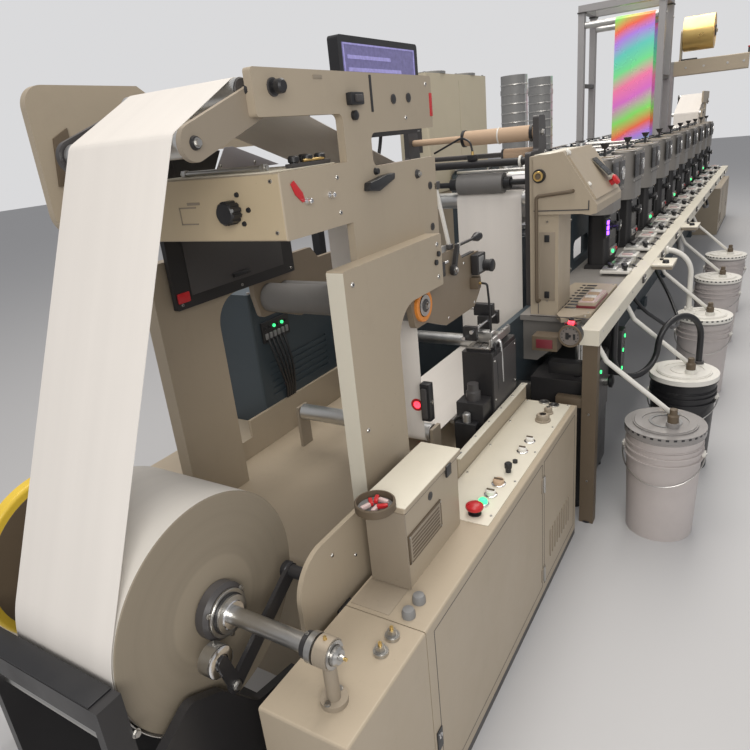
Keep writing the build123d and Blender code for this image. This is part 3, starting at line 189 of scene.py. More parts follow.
class Graph:
    """Short names for the nodes that the materials share."""

    def __init__(self, name):
        self.material = bpy.data.materials.new(name)
        self.material.use_nodes = True
        self.nodes = self.material.node_tree.nodes
        self.links = self.material.node_tree.links
        self.shader = self.nodes["Principled BSDF"]
        self.texture = self.nodes.new("ShaderNodeTexCoord")
        self.coords = self.texture.outputs["Object"]

    def link(self, source, target):
        self.links.new(source, target)

    def set(self, **values):
        for name, value in values.items():
            socket = self.shader.inputs[name.replace("_", " ")]
            socket.default_value = value

    def mapped(self, scale):
        node = self.nodes.new("ShaderNodeMapping")
        node.inputs["Scale"].default_value = scale
        self.link(self.coords, node.inputs["Vector"])
        return node.outputs["Vector"]

    def noise(self, scale, detail=4, rough=0.6, stretch=None, source=None):
        node = self.nodes.new("ShaderNodeTexNoise")
        node.inputs["Scale"].default_value = scale
        node.inputs["Detail"].default_value = detail
        node.inputs["Roughness"].default_value = rough
        self.link(self.mapped(stretch) if stretch else source or self.coords, node.inputs["Vector"])
        return node.outputs["Fac"]

    def ramp(self, value, stops):
        node = self.nodes.new("ShaderNodeValToRGB")
        elements = node.color_ramp.elements
        while len(elements) < len(stops):
            elements.new(0.5)
        for element, (place, colour) in zip(elements, stops):
            element.position = place
            element.color = (*colour, 1)
        self.link(value, node.inputs["Fac"])
        return node.outputs["Color"]

    def grey(self, value, low, high, start=0.3, end=0.7):
        """The value spread over a range of plain numbers."""
        node = self.nodes.new("ShaderNodeMapRange")
        node.inputs["From Min"].default_value = start
        node.inputs["From Max"].default_value = end
        node.inputs["To Min"].default_value = low
        node.inputs["To Max"].default_value = high
        self.link(value, node.inputs["Value"])
        return node.outputs["Result"]

    def mix(self, factor, a, b):
        node = self.nodes.new("ShaderNodeMix")
        node.data_type = "RGBA"
        for socket, value in ((node.inputs["Factor"], factor), (node.inputs[6], a), (node.inputs[7], b)):
            if hasattr(value, "is_linked"):
                self.link(value, socket)
            elif isinstance(value, (int, float)):
                socket.default_value = value
            else:
                socket.default_value = (*value, 1)
        return node.outputs[2]

    def math(self, kind, a, b=0.0):
        node = self.nodes.new("ShaderNodeMath")
        node.operation = kind
        for socket, value in zip(node.inputs, (a, b)):
            if hasattr(value, "is_linked"):
                self.link(value, socket)
            else:
                socket.default_value = value
        return node.outputs[0]

    def split(self, source=None):
        node = self.nodes.new("ShaderNodeSeparateXYZ")
        self.link(source or self.coords, node.inputs[0])
        return node.outputs

    def upward(self):
        """1 on faces that look up, 0 on the others."""
        return self.grey(self.split(self.texture.outputs["Normal"])[2], 0, 1, 0.75, 0.95)

    def colour(self, value):
        self.link(value, self.shader.inputs["Base Color"])

    def rough(self, value):
        self.link(value, self.shader.inputs["Roughness"])

    def bump(self, value, distance, strength):
        node = self.nodes.new("ShaderNodeBump")
        node.inputs["Distance"].default_value = distance
        node.inputs["Strength"].default_value = strength
        self.link(value, node.inputs["Height"])
        self.link(node.outputs["Normal"], self.shader.inputs["Normal"])


def shade(colour, factor):
    return tuple(min(1, c * factor) for c in colour)


def painted(name, colour, rough=0.42, grime=0.25, top=1.18):
    """Sprayed metal: uneven tone, worn lighter tops, a few grimy patches and runs, and fine orange peel."""
    g = Graph(name)
    tone = g.mix(g.grey(g.noise(1.3, 4), 0, 1), shade(colour, 1.03), shade(colour, 0.95))
    tone = g.mix(g.math("MULTIPLY", g.upward(), 0.8), tone, shade(colour, top))
    tone = g.mix(g.grey(g.noise(5, 7, 0.7), 0, grime, 0.56, 0.80), tone, shade(colour, 0.70))
    tone = g.mix(g.grey(g.noise(7, 5, 0.6, (5, 5, 0.4)), 0, grime * 0.6, 0.56, 0.8), tone, shade(colour, 0.74))
    tone = g.mix(g.grey(g.noise(55, 4, 0.8), 0, grime * 1.2, 0.66, 0.72), tone, shade(colour, 0.55))
    g.colour(tone)
    g.rough(g.grey(g.noise(4, 6), rough - 0.06, rough + 0.12))
    g.bump(g.noise(420, 2), 0.00022, 0.3)
    return g.material


def metal(name, colour, rough=0.3, stretch=(1, 30, 1), grain=14, dirt=0.2):
    """Turned, ground or brushed metal with faint stains."""
    g = Graph(name)
    g.set(Metallic=1.0)
    lines = g.noise(grain * 6, 3, 0.6, stretch)
    tone = g.mix(g.grey(lines, 0, 1), shade(colour, 0.93), shade(colour, 1.04))
    tone = g.mix(g.grey(g.noise(9, 6, 0.7), 0, dirt, 0.54, 0.78), tone, shade(colour, 0.55))
    g.colour(tone)
    g.rough(g.grey(g.noise(12, 5), rough - 0.05, rough + 0.10))
    g.bump(lines, 0.00008, 0.3)
    return g.material


def plastic(name, colour, rough=0.45, grain=700):
    """Moulded plastic or rubber with a fine grain and a little dust."""
    g = Graph(name)
    dusty = shade(colour, 1.7) if sum(colour) < 0.6 else shade(colour, 0.82)
    g.colour(g.mix(g.grey(g.noise(8, 6, 0.7), 0, 0.12, 0.45, 0.75), colour, dusty))
    g.rough(g.grey(g.noise(14, 5), rough - 0.05, rough + 0.12))
    g.bump(g.noise(grain, 2), 0.00018, 0.3)
    return g.material


def paper(name, colour):
    """Smooth label stock: a warm white with faint lanes along the web and a soft sheen."""
    g = Graph(name)
    g.set(Specular_IOR_Level=0.4)
    lanes = g.noise(22, 3, 0.5, (0.04, 1, 0.04))
    tone = g.mix(g.grey(lanes, 0, 1), shade(colour, 1.01), shade(colour, 0.96))
    tone = g.mix(g.grey(g.noise(2.4, 5), 0, 0.45), tone, shade(colour, 0.95))
    g.colour(tone)
    g.rough(g.grey(g.noise(9, 5), 0.47, 0.63))
    g.bump(g.noise(900, 2), 0.00005, 0.4)
    return g.material


def glowing(name, colour, strength):
    g = Graph(name)
    cloud = g.mix(g.grey(g.noise(60, 3), 0, 1), colour, shade(colour, 0.7))
    g.colour(cloud)
    g.link(cloud, g.shader.inputs["Emission Color"])
    g.set(Emission_Strength=strength, Roughness=0.3)
    return g.material


def wound(name, side, end, axis_x):
    """A wound roll: web stock on the outside, and fine rings with wide tone bands on the cut ends."""
    g = Graph(name)
    spot = at(axis_x, MIDDLE, ROLL_Z)
    x, _, z = g.split()
    dx = g.math("SUBTRACT", x, spot.x)
    dz = g.math("SUBTRACT", z, spot.z)
    radius = g.math("SQRT", g.math("ADD", g.math("MULTIPLY", dx, dx), g.math("MULTIPLY", dz, dz)))
    join = g.nodes.new("ShaderNodeCombineXYZ")
    g.link(radius, join.inputs[0])
    rings = g.noise(900, 3, 0.5, source=join.outputs[0])
    bands = g.noise(42, 2, 0.5, source=join.outputs[0])
    tone = g.mix(g.grey(rings, 0, 1), shade(end, 1.05), shade(end, 0.93))
    tone = g.mix(g.grey(bands, 0, 0.6, 0.4, 0.7), tone, shade(end, 0.88))
    inside = g.grey(radius, 1, 0, 0.110, 0.118)
    tone = g.mix(g.math("MULTIPLY", inside, 0.6), tone, shade(end, 1.22))
    tone = g.mix(g.grey(radius, 1, 0, 0.052, 0.053), tone, (0.33, 0.24, 0.15))
    across = g.math("ABSOLUTE", g.split(g.texture.outputs["Normal"])[1])
    lanes = g.noise(22, 3, 0.5, (0.04, 1, 0.04))
    skin = g.mix(g.grey(lanes, 0, 1), side, shade(side, 0.95))
    g.colour(g.mix(g.grey(across, 0, 1, 0.4, 0.6), skin, tone))
    g.rough(g.grey(g.noise(9, 5), 0.5, 0.68))
    g.bump(rings, 0.00010, 0.5)
    return g.material


def rainbow(name):
    """Smooth bands of colour that drift across the film, with a faint painted glow."""
    g = Graph(name)
    _, y, z = g.split()
    drift = g.math("ADD", g.math("MULTIPLY", y, 0.55), g.math("MULTIPLY", g.noise(2.2, 2), 0.16))
    height = g.math("ADD", g.math("MULTIPLY", z, 1.28), drift)
    phase = g.math("FRACT", height)
    stops = [
        (0.00, (0.90, 0.16, 0.09)), (0.14, (0.26, 0.78, 0.16)), (0.32, (0.72, 0.18, 0.62)),
        (0.46, (0.92, 0.22, 0.42)), (0.60, (0.20, 0.76, 0.30)), (0.76, (0.14, 0.62, 0.52)),
        (0.90, (0.46, 0.24, 0.80)), (1.00, (0.90, 0.16, 0.09)),
    ]
    tone = g.ramp(phase, stops)
    g.colour(tone)
    g.link(tone, g.shader.inputs["Emission Color"])
    # Painted glow: the film gives off a little light in the colour of its bands.
    g.set(Emission_Strength=0.22, Metallic=0.25)
    g.rough(g.grey(g.noise(6, 4), 0.20, 0.34))
    g.bump(g.noise(5, 3, 0.5, (1, 4, 1)), 0.0015, 0.25)
    return g.material


def clear(name, colour, through, rough):
    """Milky plastic that lets some light through."""
    g = Graph(name)
    g.colour(g.mix(g.grey(g.noise(5, 6, 0.7), 0, 0.5, 0.45, 0.75), colour, shade(colour, 0.84)))
    g.set(Transmission_Weight=through, IOR=1.35)
    g.rough(g.grey(g.noise(12, 5), rough, rough + 0.14))
    g.bump(g.noise(90, 3), 0.0004, 0.3)
    return g.material


CREAM = painted("cream", (0.40, 0.335, 0.25))
# Cream in painted shade: the cream darkened to seven tenths for cream parts that stand in shade, with faces that look
# up lightened back to about the cream.
SHADED_CREAM = painted("shaded_cream", (0.28, 0.235, 0.18), top=1.5)
BRONZE = painted("bronze_paint", (0.22, 0.175, 0.125), grime=0.3, top=1.4)
SAND = painted("sand_paint", (0.56, 0.50, 0.37), grime=0.2)
LILAC = painted("lilac_grey_paint", (0.33, 0.31, 0.325), grime=0.15)
IVORY = painted("cream_light", (0.66, 0.62, 0.52), grime=0.2, top=1.1)
BLACK = painted("black_paint", (0.022, 0.021, 0.022), rough=0.36, grime=0.15, top=1.6)
COAL = painted("charcoal", (0.060, 0.056, 0.056), grime=0.2, top=1.7)
STONE = painted("grey_paint", (0.205, 0.192, 0.178), grime=0.2, top=1.5)
TAN = painted("tan_paint", (0.52, 0.425, 0.285), grime=0.2, top=1.2)
PALE_GREY = painted("pale_grey_paint", (0.33, 0.32, 0.325), grime=0.2, top=1.3)
NAVY = painted("navy_paint", (0.040, 0.055, 0.066), grime=0.2, top=1.5)
YELLOW = painted("yellow_paint", (0.72, 0.50, 0.05), rough=0.35, grime=0.2)
ORANGE = painted("orange_paint", (0.72, 0.25, 0.04), rough=0.35, grime=0.15)
STEEL = metal("steel", (0.52, 0.51, 0.49))
CHROME = metal("chrome", (0.80, 0.80, 0.81), rough=0.14, dirt=0.1)
ALLOY = metal("aluminium", (0.66, 0.66, 0.65), rough=0.36)
ANILOX = metal("anilox", (0.40, 0.39, 0.40), rough=0.36, grain=60, stretch=(1, 1, 1))
BRASS = metal("brass", (0.80, 0.57, 0.22), rough=0.30)
PAPER = paper("paper", (0.76, 0.72, 0.675))
KRAFT = plastic("kraft", (0.52, 0.37, 0.25), rough=0.7, grain=300)
PLASTIC = plastic("black_plastic", (0.016, 0.016, 0.018), rough=0.34)
GREY = plastic("grey_plastic", (0.22, 0.22, 0.22))
BROWN = plastic("brown_plastic", (0.115, 0.085, 0.055), rough=0.5)
WHITE = plastic("white_plastic", (0.74, 0.72, 0.67), rough=0.35)
PINK = plastic("pink_plastic", (0.62, 0.47, 0.45), rough=0.4)
RUBBER = plastic("rubber", (0.155, 0.150, 0.145), rough=0.55)
MAROON = plastic("maroon_plastic", (0.16, 0.02, 0.03), rough=0.4)
DIAL = plastic("dial_face", (0.17, 0.15, 0.14), rough=0.2)
RED = plastic("red_plastic", (0.52, 0.020, 0.025), rough=0.28)
GREEN_GLOW = glowing("green_glow", (0.05, 0.95, 0.25), 2.2)
RED_GLOW = glowing("red_glow", (1.0, 0.03, 0.05), 5.0)
PINK_GLOW = glowing("pink_glow", (1.0, 0.12, 0.22), 1.6)
UV_GLOW = glowing("uv_glow", (0.22, 0.05, 1.0), 7.0)
SCREEN = glowing("screen", (0.115, 0.105, 0.225), 0.8)
SCREEN_PALE = glowing("screen_pale", (0.235, 0.215, 0.44), 0.85)
DARK_GLASS = plastic("dark_glass", (0.02, 0.022, 0.024), rough=0.10, grain=200)
FILM = rainbow("film")
# The pail's milky plastic colour, darkened by about a fifth as painted shade.
PAIL = clear("pail", (0.60, 0.55, 0.535), 0.2, 0.35)
LID_CLEAR = clear("lid_clear", (0.42, 0.40, 0.39), 0.35, 0.12)
FRONT_ROLL = wound("front_roll", (0.80, 0.765, 0.71), (0.255, 0.215, 0.16), ROLL_X)
BACK_ROLL = wound("back_roll", (0.80, 0.765, 0.71), (0.30, 0.265, 0.205), far(ROLL_X))

LOOKS = {
    "cream": CREAM, "white_cream": IVORY, "black_metal": BLACK, "dark_blue": NAVY, "steel": STEEL,
    "chrome": CHROME, "aluminium": ALLOY, "paper": PAPER, "kraft": KRAFT, "black_plastic": PLASTIC,
    "grey_plastic": GREY, "white_plastic": WHITE, "red_plastic": RED, "orange": ORANGE,
    "yellow": YELLOW, "screen": SCREEN, "film": FILM, "gold": BRASS, "plate_roll": RUBBER, "anilox": ANILOX,
}


# Dress of the CAD nodes

OWN_LOOKS = {
    "paper_roll": FRONT_ROLL, "rewind_roll": BACK_ROLL, "core_chucks": COAL, "console_conduit": BROWN,
    # infeed_housing is a thin plate on the far tower plate, painted black as painted shade under the cross box
    "infeed_housing": BLACK, "foil_arm": CREAM, "deck_controls": CREAM, "deck_shelf": STONE,
    "riser_plates": COAL, "shaft_bearings": SHADED_CREAM, "web_arms_gear": COAL, "idler_arms": SHADED_CREAM,
    "dryer_hoods": ALLOY, "film_portal": PALE_GREY, "nip_brackets": BRONZE, "dryer_cabinets": SAND,
}


def dress_nodes():
    """The look of each node's slot, unless the node has one of its own."""
    slots = {part["node"]: part["material_slot"] for part in frame["record"]["subparts"]}
    for name, node in NODES.items():
        node.data.materials.clear()
        node.data.materials.append(OWN_LOOKS.get(name) or LOOKS[slots[name]])


def paint(name, material, test):
    """Give a material to the faces of a node whose middle (in press millimetres) and normal pass the test."""
    mesh = NODES[name].data
    mesh.materials.append(material)
    index = len(mesh.materials) - 1
    for face in mesh.polygons:
        spot = (face.center - CORNER) * 1000
        if test(spot, face.normal):
            face.material_index = index


def soften(*names, width=0.0018):
    """Small rounded edges that catch the light."""
    for name in names:
        bevel = NODES[name].modifiers.new("soft_edges", "BEVEL")
        bevel.width = width
        bevel.segments = 2
        bevel.limit_method = "ANGLE"
        bevel.angle_limit = math.radians(EDGE_ANGLE)
        bevel.use_clamp_overlap = True


dress_nodes()
paint("rewind_roll", STEEL, lambda p, n: abs(p.y - MIDDLE) > 190)
paint(
    "rewind_roll", COAL,
    lambda p, n: 151 < abs(p.y - MIDDLE) < 190 and math.hypot(p.x - far(ROLL_X), p.z - ROLL_Z) > 19.5,
)
paint("dryer_hoods", GREY, lambda p, n: p.y > 960)
paint("station_housings", STONE, lambda p, n: p.z > 1150)
paint("station_housings", SHADED_CREAM, lambda p, n: p.z > 1384)
paint("bed_sides", BROWN, lambda p, n: p.x < 1745 and p.y < 10)
paint("ink_pails", PAIL, lambda p, n: p.z < 445 and not 2240 < p.x < 2530)
paint("ink_pails", PLASTIC, lambda p, n: p.z < 445 and 2240 < p.x < 2530)
paint("support_plates", IVORY, lambda p, n: n.x < -0.9 and p.x < 560 and p.y < MIDDLE)
paint("pail_lids", LID_CLEAR, lambda p, n: p.x < 1960)
paint("infeed_cross_box", TAN, lambda p, n: n.x < -0.9)
paint("brake_arm", STEEL, lambda p, n: p.x < 45 and 299 < p.y)
paint("nip_rollers", PLASTIC, lambda p, n: p.x > 1300 and (p.y < 444 or p.y > 656))
paint("core_rollers", COAL, lambda p, n: abs(n.y) < 0.5 and p.y > 520 and p.z < 1500)
paint("deck_controls", PLASTIC, lambda p, n: p.x < 1692)
paint("deck_controls", PINK, lambda p, n: p.z > 857 and p.x > 2100)
paint("guide_idlers", COAL, lambda p, n: 800 < p.x < 2000 and p.z > 1250)
soften("base_sides_operator", "base_sides_gear", "base_cross_housings", "inner_guard_plate", "support_plates")
soften(
    "tower_plates", "infeed_cross_box", "control_box", "console_post", "console_head", "nip_brackets", "gear_covers"
)
soften(
    "deck_rail", "station_frames", "dryer_cabinets", "drive_cabinet", "web_guide_box", "roll_stand", "riser_plates"
)
soften("tool_blocks", "ink_chambers", "dryer_hoods", "film_portal", "foil_arm", width=0.0025)


# Piece builder

class Shape:
    """Simple solids in press millimetres, joined in one piece, with x from a centre of its own."""

    def __init__(self, centre=0):
        self.centre = centre
        self.mesh = bmesh.new()
        self.materials = []
        self.index = 0

    def at(self, x, y, z):
        return at(self.centre + x, y, z)

    def use(self, material):
        if material not in self.materials:
            self.materials.append(material)
        self.index = self.materials.index(material)
        return self

    def mark(self, faces):
        for face in faces:
            face.material_index = self.index

    def place(self, verts, matrix):
        bmesh.ops.transform(self.mesh, matrix=matrix, verts=verts)
        for vert in verts:
            self.mark(vert.link_faces)
        return self

    def ease(self, verts, bevel):
        """Round the edges that meet at these points."""
        if bevel:
            edges = list({edge for vert in verts for edge in vert.link_edges})
            cut = bmesh.ops.bevel(self.mesh, geom=edges, offset=bevel / 1000, segments=2, affect="EDGES", profile=0.6)
            self.mark(cut["faces"])
        return self

    def skin(self, rows, closed=False):
        """Faces from each ring of points to the next, and end faces unless the last ring joins the first."""
        for low, high in zip(rows, rows[1:] + rows[:closed]):
            for i in range(len(low)):
                j = (i + 1) % len(low)
                self.mark([self.mesh.faces.new((low[i], low[j], high[j], high[i]))])
        if not closed:
            self.mark([self.mesh.faces.new(list(reversed(rows[0]))), self.mesh.faces.new(rows[-1])])
        return self

    def box(self, x0, x1, y0, y1, z0, z1, bevel=0.0, turn=None):
        made = bmesh.ops.create_cube(self.mesh, size=1)["verts"]
        size = Matrix.Diagonal((abs(x1 - x0) / 1000, abs(y1 - y0) / 1000, abs(z1 - z0) / 1000, 1))
        spot = Matrix.Translation(self.at((x0 + x1) / 2, (y0 + y1) / 2, (z0 + z1) / 2))
        return self.place(made, spot @ (turn or Matrix.Identity(4)) @ size).ease(made, bevel)

    def seam(self, x0, x1, y0, y1, z0, z1, wide=2):
        """Four strips round a panel across the y axis."""
        for low in (z0, z1 - wide):
            self.box(x0, x1, y0, y1, low, low + wide)
        for low in (x0, x1 - wide):
            self.box(low, low + wide, y0, y1, z0 + wide, z1 - wide)
        return self

    def rod(self, a, b, r, sides=20, r2=None):
        a, b = self.at(*a), self.at(*b)
        run = b - a
        made = bmesh.ops.create_cone(
            self.mesh, cap_ends=True, segments=sides, radius1=r / 1000,
            radius2=(r if r2 is None else r2) / 1000, depth=run.length,
        )["verts"]
        turn = run.to_track_quat("Z", "Y").to_matrix().to_4x4()
        return self.place(made, Matrix.Translation((a + b) / 2) @ turn)

    def bar(self, x, y, z, r, sides=20, r2=None):
        """A rod along the axis whose place is a pair."""
        ends = [[v[i] if isinstance(v, tuple) else v for v in (x, y, z)] for i in (0, 1)]
        return self.rod(*ends, r, sides, r2)

    def lathe(self, centre, axis, profile, sides=28, closed=False):
        """Revolve (radius, along) points about an axis through the centre."""
        turn = Vector(axis).to_track_quat("Z", "Y").to_matrix()
        centre = self.at(*centre)
        angles = [2 * math.pi * i / sides for i in range(sides)]
        rows = []
        for radius, along in profile:
            spots = [Vector((radius * math.cos(t), radius * math.sin(t), along)) / 1000 for t in angles]
            rows.append([self.mesh.verts.new(centre + turn @ spot) for spot in spots])
        return self.skin(rows, closed)

    def ring(self, centre, axis, outer, inner, low, high, edge=1.0, sides=32):
        """A tube section with eased edges."""
        slope = [(outer - edge, low), (outer, low + edge), (outer, high - edge), (outer - edge, high)]
        return self.lathe(centre, axis, [(inner, low), *slope, (inner, high)], sides, True)

    def slab(self, points, axis, low, high, bevel=0.0):
        """A flat outline across the axis x or y, made solid along it."""
        spots = [[(t, u, v) if axis == "x" else (u, t, v) for u, v in points] for t in (low, high)]
        rows = [[self.mesh.verts.new(self.at(*spot)) for spot in row] for row in spots]
        faces = [self.mesh.faces.new(rows[0]), self.mesh.faces.new(list(reversed(rows[1])))]
        for i in range(len(points)):
            j = (i + 1) % len(points)
            faces.append(self.mesh.faces.new((rows[0][i], rows[1][i], rows[1][j], rows[0][j])))
        self.mark(faces)
        return self.ease(rows[0] + rows[1], bevel)

    def pipe(self, points, r, sides=10, steps=5):
        """A bent tube through the points, with rounded corners."""
        spots = [self.at(*point) for point in points]
        path = [spots[0]]
        for before, here, after in zip(spots, spots[1:], spots[2:]):
            reach = min((before - here).length, (after - here).length) * 0.45
            start = here + (before - here).normalized() * reach
            end = here + (after - here).normalized() * reach
            for i in range(steps + 1):
                t = i / steps
                path.append(start.lerp(here, t).lerp(here.lerp(end, t), t))
        path.append(spots[-1])
        angles = [2 * math.pi * k / sides for k in range(sides)]
        side = (path[1] - path[0]).normalized().orthogonal().normalized()
        rows = []
        for i, spot in enumerate(path):
            ahead = (path[min(i + 1, len(path) - 1)] - path[max(i - 1, 0)]).normalized()
            side = (side - ahead * side.dot(ahead)).normalized()
            third = ahead.cross(side)
            around = [(side * math.cos(t) + third * math.sin(t)) * r / 1000 for t in angles]
            rows.append([self.mesh.verts.new(spot + step) for step in around])
        return self.skin(rows)

    def bolt(self, spot, axis, r=6, height=5):
        """Hexagon head on a washer."""
        base, step, washer = Vector(spot), Vector(axis), 1.5
        self.rod(base, base + step * washer, r * 1.3, 16)
        return self.rod(base + step * washer, base + step * (washer + height), r, 6, r * 0.94)

    def screw(self, spot, axis, r=4.5):
        """Low round head with a dark socket."""
        base, step, head = Vector(spot), Vector(axis), 2.2
        self.rod(base, base + step * head, r, 14, r * 0.8)
        here = self.index
        self.use(PLASTIC).rod(base + step * head, base + step * (head + 0.2), r * 0.42, 6)
        self.index = here
        return self

    def done(self, name, slot, body="press", replaced=()):
        bmesh.ops.recalc_face_normals(self.mesh, faces=self.mesh.faces)
        data = bpy.data.meshes.new(name)
        self.mesh.to_mesh(data)
        self.mesh.free()
        for material in self.materials:
            data.materials.append(material)
        data.shade_smooth()
        data.set_sharp_from_angle(angle=math.radians(FACE_ANGLE))
        piece = bpy.data.objects.new(name, data)
        scene.collection.objects.link(piece)
        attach(piece, body)
        if replaced:
            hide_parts(*replaced)


def turned(angle, axis):
    return Matrix.Rotation(math.radians(angle), 4, axis)


# Operator's deck


def station_deck_details(centre, index):
    """Trays with wells, clamps and fittings in front of one station."""
    s = Shape(centre)
    s.use(ALLOY).box(-172, -18, 30, 122, 874, 879, 1.5)
    for i in range(4):
        s.use(COAL).bar(-152 + i * 38, 56, (879, 880), 13, 20)
        s.use(BLACK).box(-164 + i * 38, -140 + i * 38, 84, 110, 878.8, 880, 0.6)
    s.use(WHITE).box(18, 142, 30, 122, 874, 882, 2)
    s.use(PINK).box(34, 60, 50, 102, 882, 890, 3)
    s.use(GREY).box(76, 126, 44, 108, 881.6, 884, 2)
    for dx in (-160, -30, 30, 130):
        s.use(STEEL).bolt((dx, 118, 874), UP, 4, 4)
    s.use(PLASTIC).bar(172, 70, (838, 862), 14, 20)
    s.use(RED if index % 3 == 1 else GREY).lathe(
        (172, 70, 862), UP, [(14, 0), (19, 4), (19, 12), (12, 17), (0.1, 18)]
    )
    s.use(CHROME).bar(205, 60, (838, 852), 9, 16)
    s.use(PLASTIC).pipe([(-95, 30, 860), (-95, 18, 858), (-100, 10, 846), (-100, 2, 851)], 5)
    s.pipe([(80, 30, 860), (80, 18, 858), (84, 10, 846), (84, 2, 851)], 5)
    s.use(WHITE).box(-282, -196, 8, 148, 851, 866, 4)
    s.use(ALLOY).box(-274, -204, 70, 140, 866, 878, 4)
    for px, py in ((-262, 30), (-222, 44), (-250, 100), (-220, 112)):
        s.use(PLASTIC).lathe((px, py, 866), UP, [(9, 0), (9, 14), (14, 17), (14, 27), (9, 30), (0.1, 30)], 18)
    for y0 in (190, 222):
        s.use(GREY).box(110, 180, y0, y0 + 20, 838, 852, 3)
    s.done(f"deck_fittings_{index + 1}", "aluminium")


def station_housing_details(centre, index):
    """Seams, lids, dials, hinge and screws of one operator-side housing."""
    s = Shape(centre)
    s.use(COAL).box(-150, 150, 128.6, 130.4, 1214, 1217)
    s.box(-95, 95, 144.6, 146.4, 980, 983)
    s.use(STONE).box(-140, 140, 134, 266, 1385, 1389, 1.5)
    s.use(SHADED_CREAM).box(-60, -10, 146, 254, 1388, 1394, 2)
    s.use(COAL).box(20, 140, 124, 131, 1240, 1365, 2)
    s.use(BLACK).box(-140, -10, 126.5, 131, 1240, 1365, 1.5)
    for i in range(5):
        s.use(COAL).box(-128, -22, 124.8, 127, 1256 + i * 22, 1262 + i * 22, 0.8)
    s.use(CHROME).ring((80, 124, 1302), NEAR, 34, 27, 0, 7, 1.5)
    s.use(WHITE).lathe((80, 124, 1302), NEAR, [(27, 0), (27, 2), (0.1, 2)])
    s.use(PLASTIC).box(78.6, 81.4, 120.8, 122, 1290, 1324)
    for dx, dz in (*product((-145, 145), (1225, 1375)), *product((-90, 90), (1100, 860))):
        s.use(STEEL).screw((dx, 130 if dz > 1120 else 146, dz), NEAR, 4.5)
    s.use(PLASTIC).lathe(
        (-40, 146, 1050), NEAR, [(20, 0), (20, 5), (13, 8), (13, 26), (24, 28), (24, 40), (18, 44), (0.1, 44)]
    )
    s.use(CHROME).lathe((-40, 102, 1050), NEAR, [(7, 0), (7, 3), (0.1, 3)])
    s.use(PLASTIC).lathe((50, 146, 1050), NEAR, [(15, 0), (15, 5), (10, 7), (10, 20), (17, 22), (17, 30), (0.1, 31)])
    s.use(STEEL).box(-70, 70, 138, 147, 900, 940, 2)
    for i in range(3):
        material = (GREEN_GLOW, GREY, RED)[i] if index % 2 == 0 else (GREY, PLASTIC, RED)[i]
        s.use(material).lathe((-40 + i * 40, 138, 920), NEAR, [(10, 0), (10, 5), (7, 8), (0.1, 8)], 18)
    s.use(PLASTIC).pipe([(120, 150, 1122), (122, 140, 1040), (130, 140, 920), (128, 170, 842)], 6)
    s.pipe([(140, 160, 1122), (144, 150, 1040), (150, 150, 920), (148, 180, 842)], 4)
    s.use(BRASS).bar(120, 150, (1122, 1108), 8, 12)
    s.done(f"housing_fittings_{index + 1}", "black_metal")


def station_frame_details(centre, index):
    """Frame bolts, top strips with pins, a blade bar and a hose inside one station."""
    s = Shape(centre)
    for y, out in both(310):
        for dx, z in product((-222, 222), (860, 1362, 1110)):
            s.use(STEEL).bolt((dx, y, z), (0, out, 0), 7, 5)
    s.use(STEEL).box(-232, 232, 312, 333, 1385, 1391, 1.5)
    s.box(-232, 232, gear(333), gear(312), 1385, 1391, 1.5)
    for dx in (-200, -80, 60, 200):
        s.use(BLACK).bar(dx, 322, (1391, 1399), 9, 16)
    s.use(COAL).box(-226, 226, 360, 366, 1330, 1384, 2)
    s.use(STEEL).bar(-215, (336, 924), 1372, 9, 14)
    s.use(PLASTIC).pipe([(-200, 345, 1360), (-150, 420, 1368), (-100, 600, 1366), (-60, 900, 1360)], 7)
    s.done(f"frame_fittings_{index + 1}", "steel")


# Ink pails

def pail_details(centre, index):
    """Rim, dashes, handle, ribs and lid knob on one pail."""
    y = PAIL_Y
    s = Shape(centre)
    dark = index == 1
    s.use(PLASTIC if dark else LID_CLEAR).ring((0, y, 440), UP, 146, 130, -10, 0, 2, 64)
    count = 34
    for i in range(0 if dark else count):
        angle = 2 * math.pi * i / count
        px, py = 146 * math.cos(angle), y + 146 * math.sin(angle)
        s.use(PLASTIC).box(px - 1.2, px + 1.2, py - 6, py + 6, 452, 460, 0.5, turn=turned(math.degrees(angle), "Z"))
    for z in (392, 398):
        s.use(PLASTIC if dark else PAIL).ring((0, y, z), UP, 141.5, 130, -1.5, 1.5, 0.6, 64)
    for side in (-1, 1):
        s.use(WHITE).bar(0, (y + side * 136, y + side * 149), 352, 15, 20)
        s.use(STEEL).bar(0, (y + side * 147, y + side * 153), 352, 5, 12)
    points = [(0, y - 150, 352)]
    for i in range(1, 12):
        angle = math.pi * i / 12
        points.append((-140 * math.sin(angle) - 4, y - 150 * math.cos(angle), 352 - 96 * math.sin(angle)))
    points.append((0, y + 150, 352))
    s.use(STEEL).pipe(points, 2.6, 8, 3)
    lid_top = LID_CLEAR if index == 0 else WHITE
    s.use(lid_top).ring((0, y, LID_TOP), UP, 112, 84, 0, 3, 1, 48)
    s.use(GREY if index == 0 else lid_top).ring((0, y, LID_TOP), UP, 60, 50, 0, 3, 1)
    s.use(GREY).lathe((70, y - 20, LID_TOP), UP, [(22, 0), (22, 6), (15, 10), (15, 16), (10, 20)])
    s.use(BROWN).lathe((-40, y - 30, 488), UP, [(20, 0), (20, 26), (14, 32), (14, 52), (10, 54), (0.1, 54)])
    s.done(f"pail_fittings_{index + 1}", "white_plastic")


# Gear side

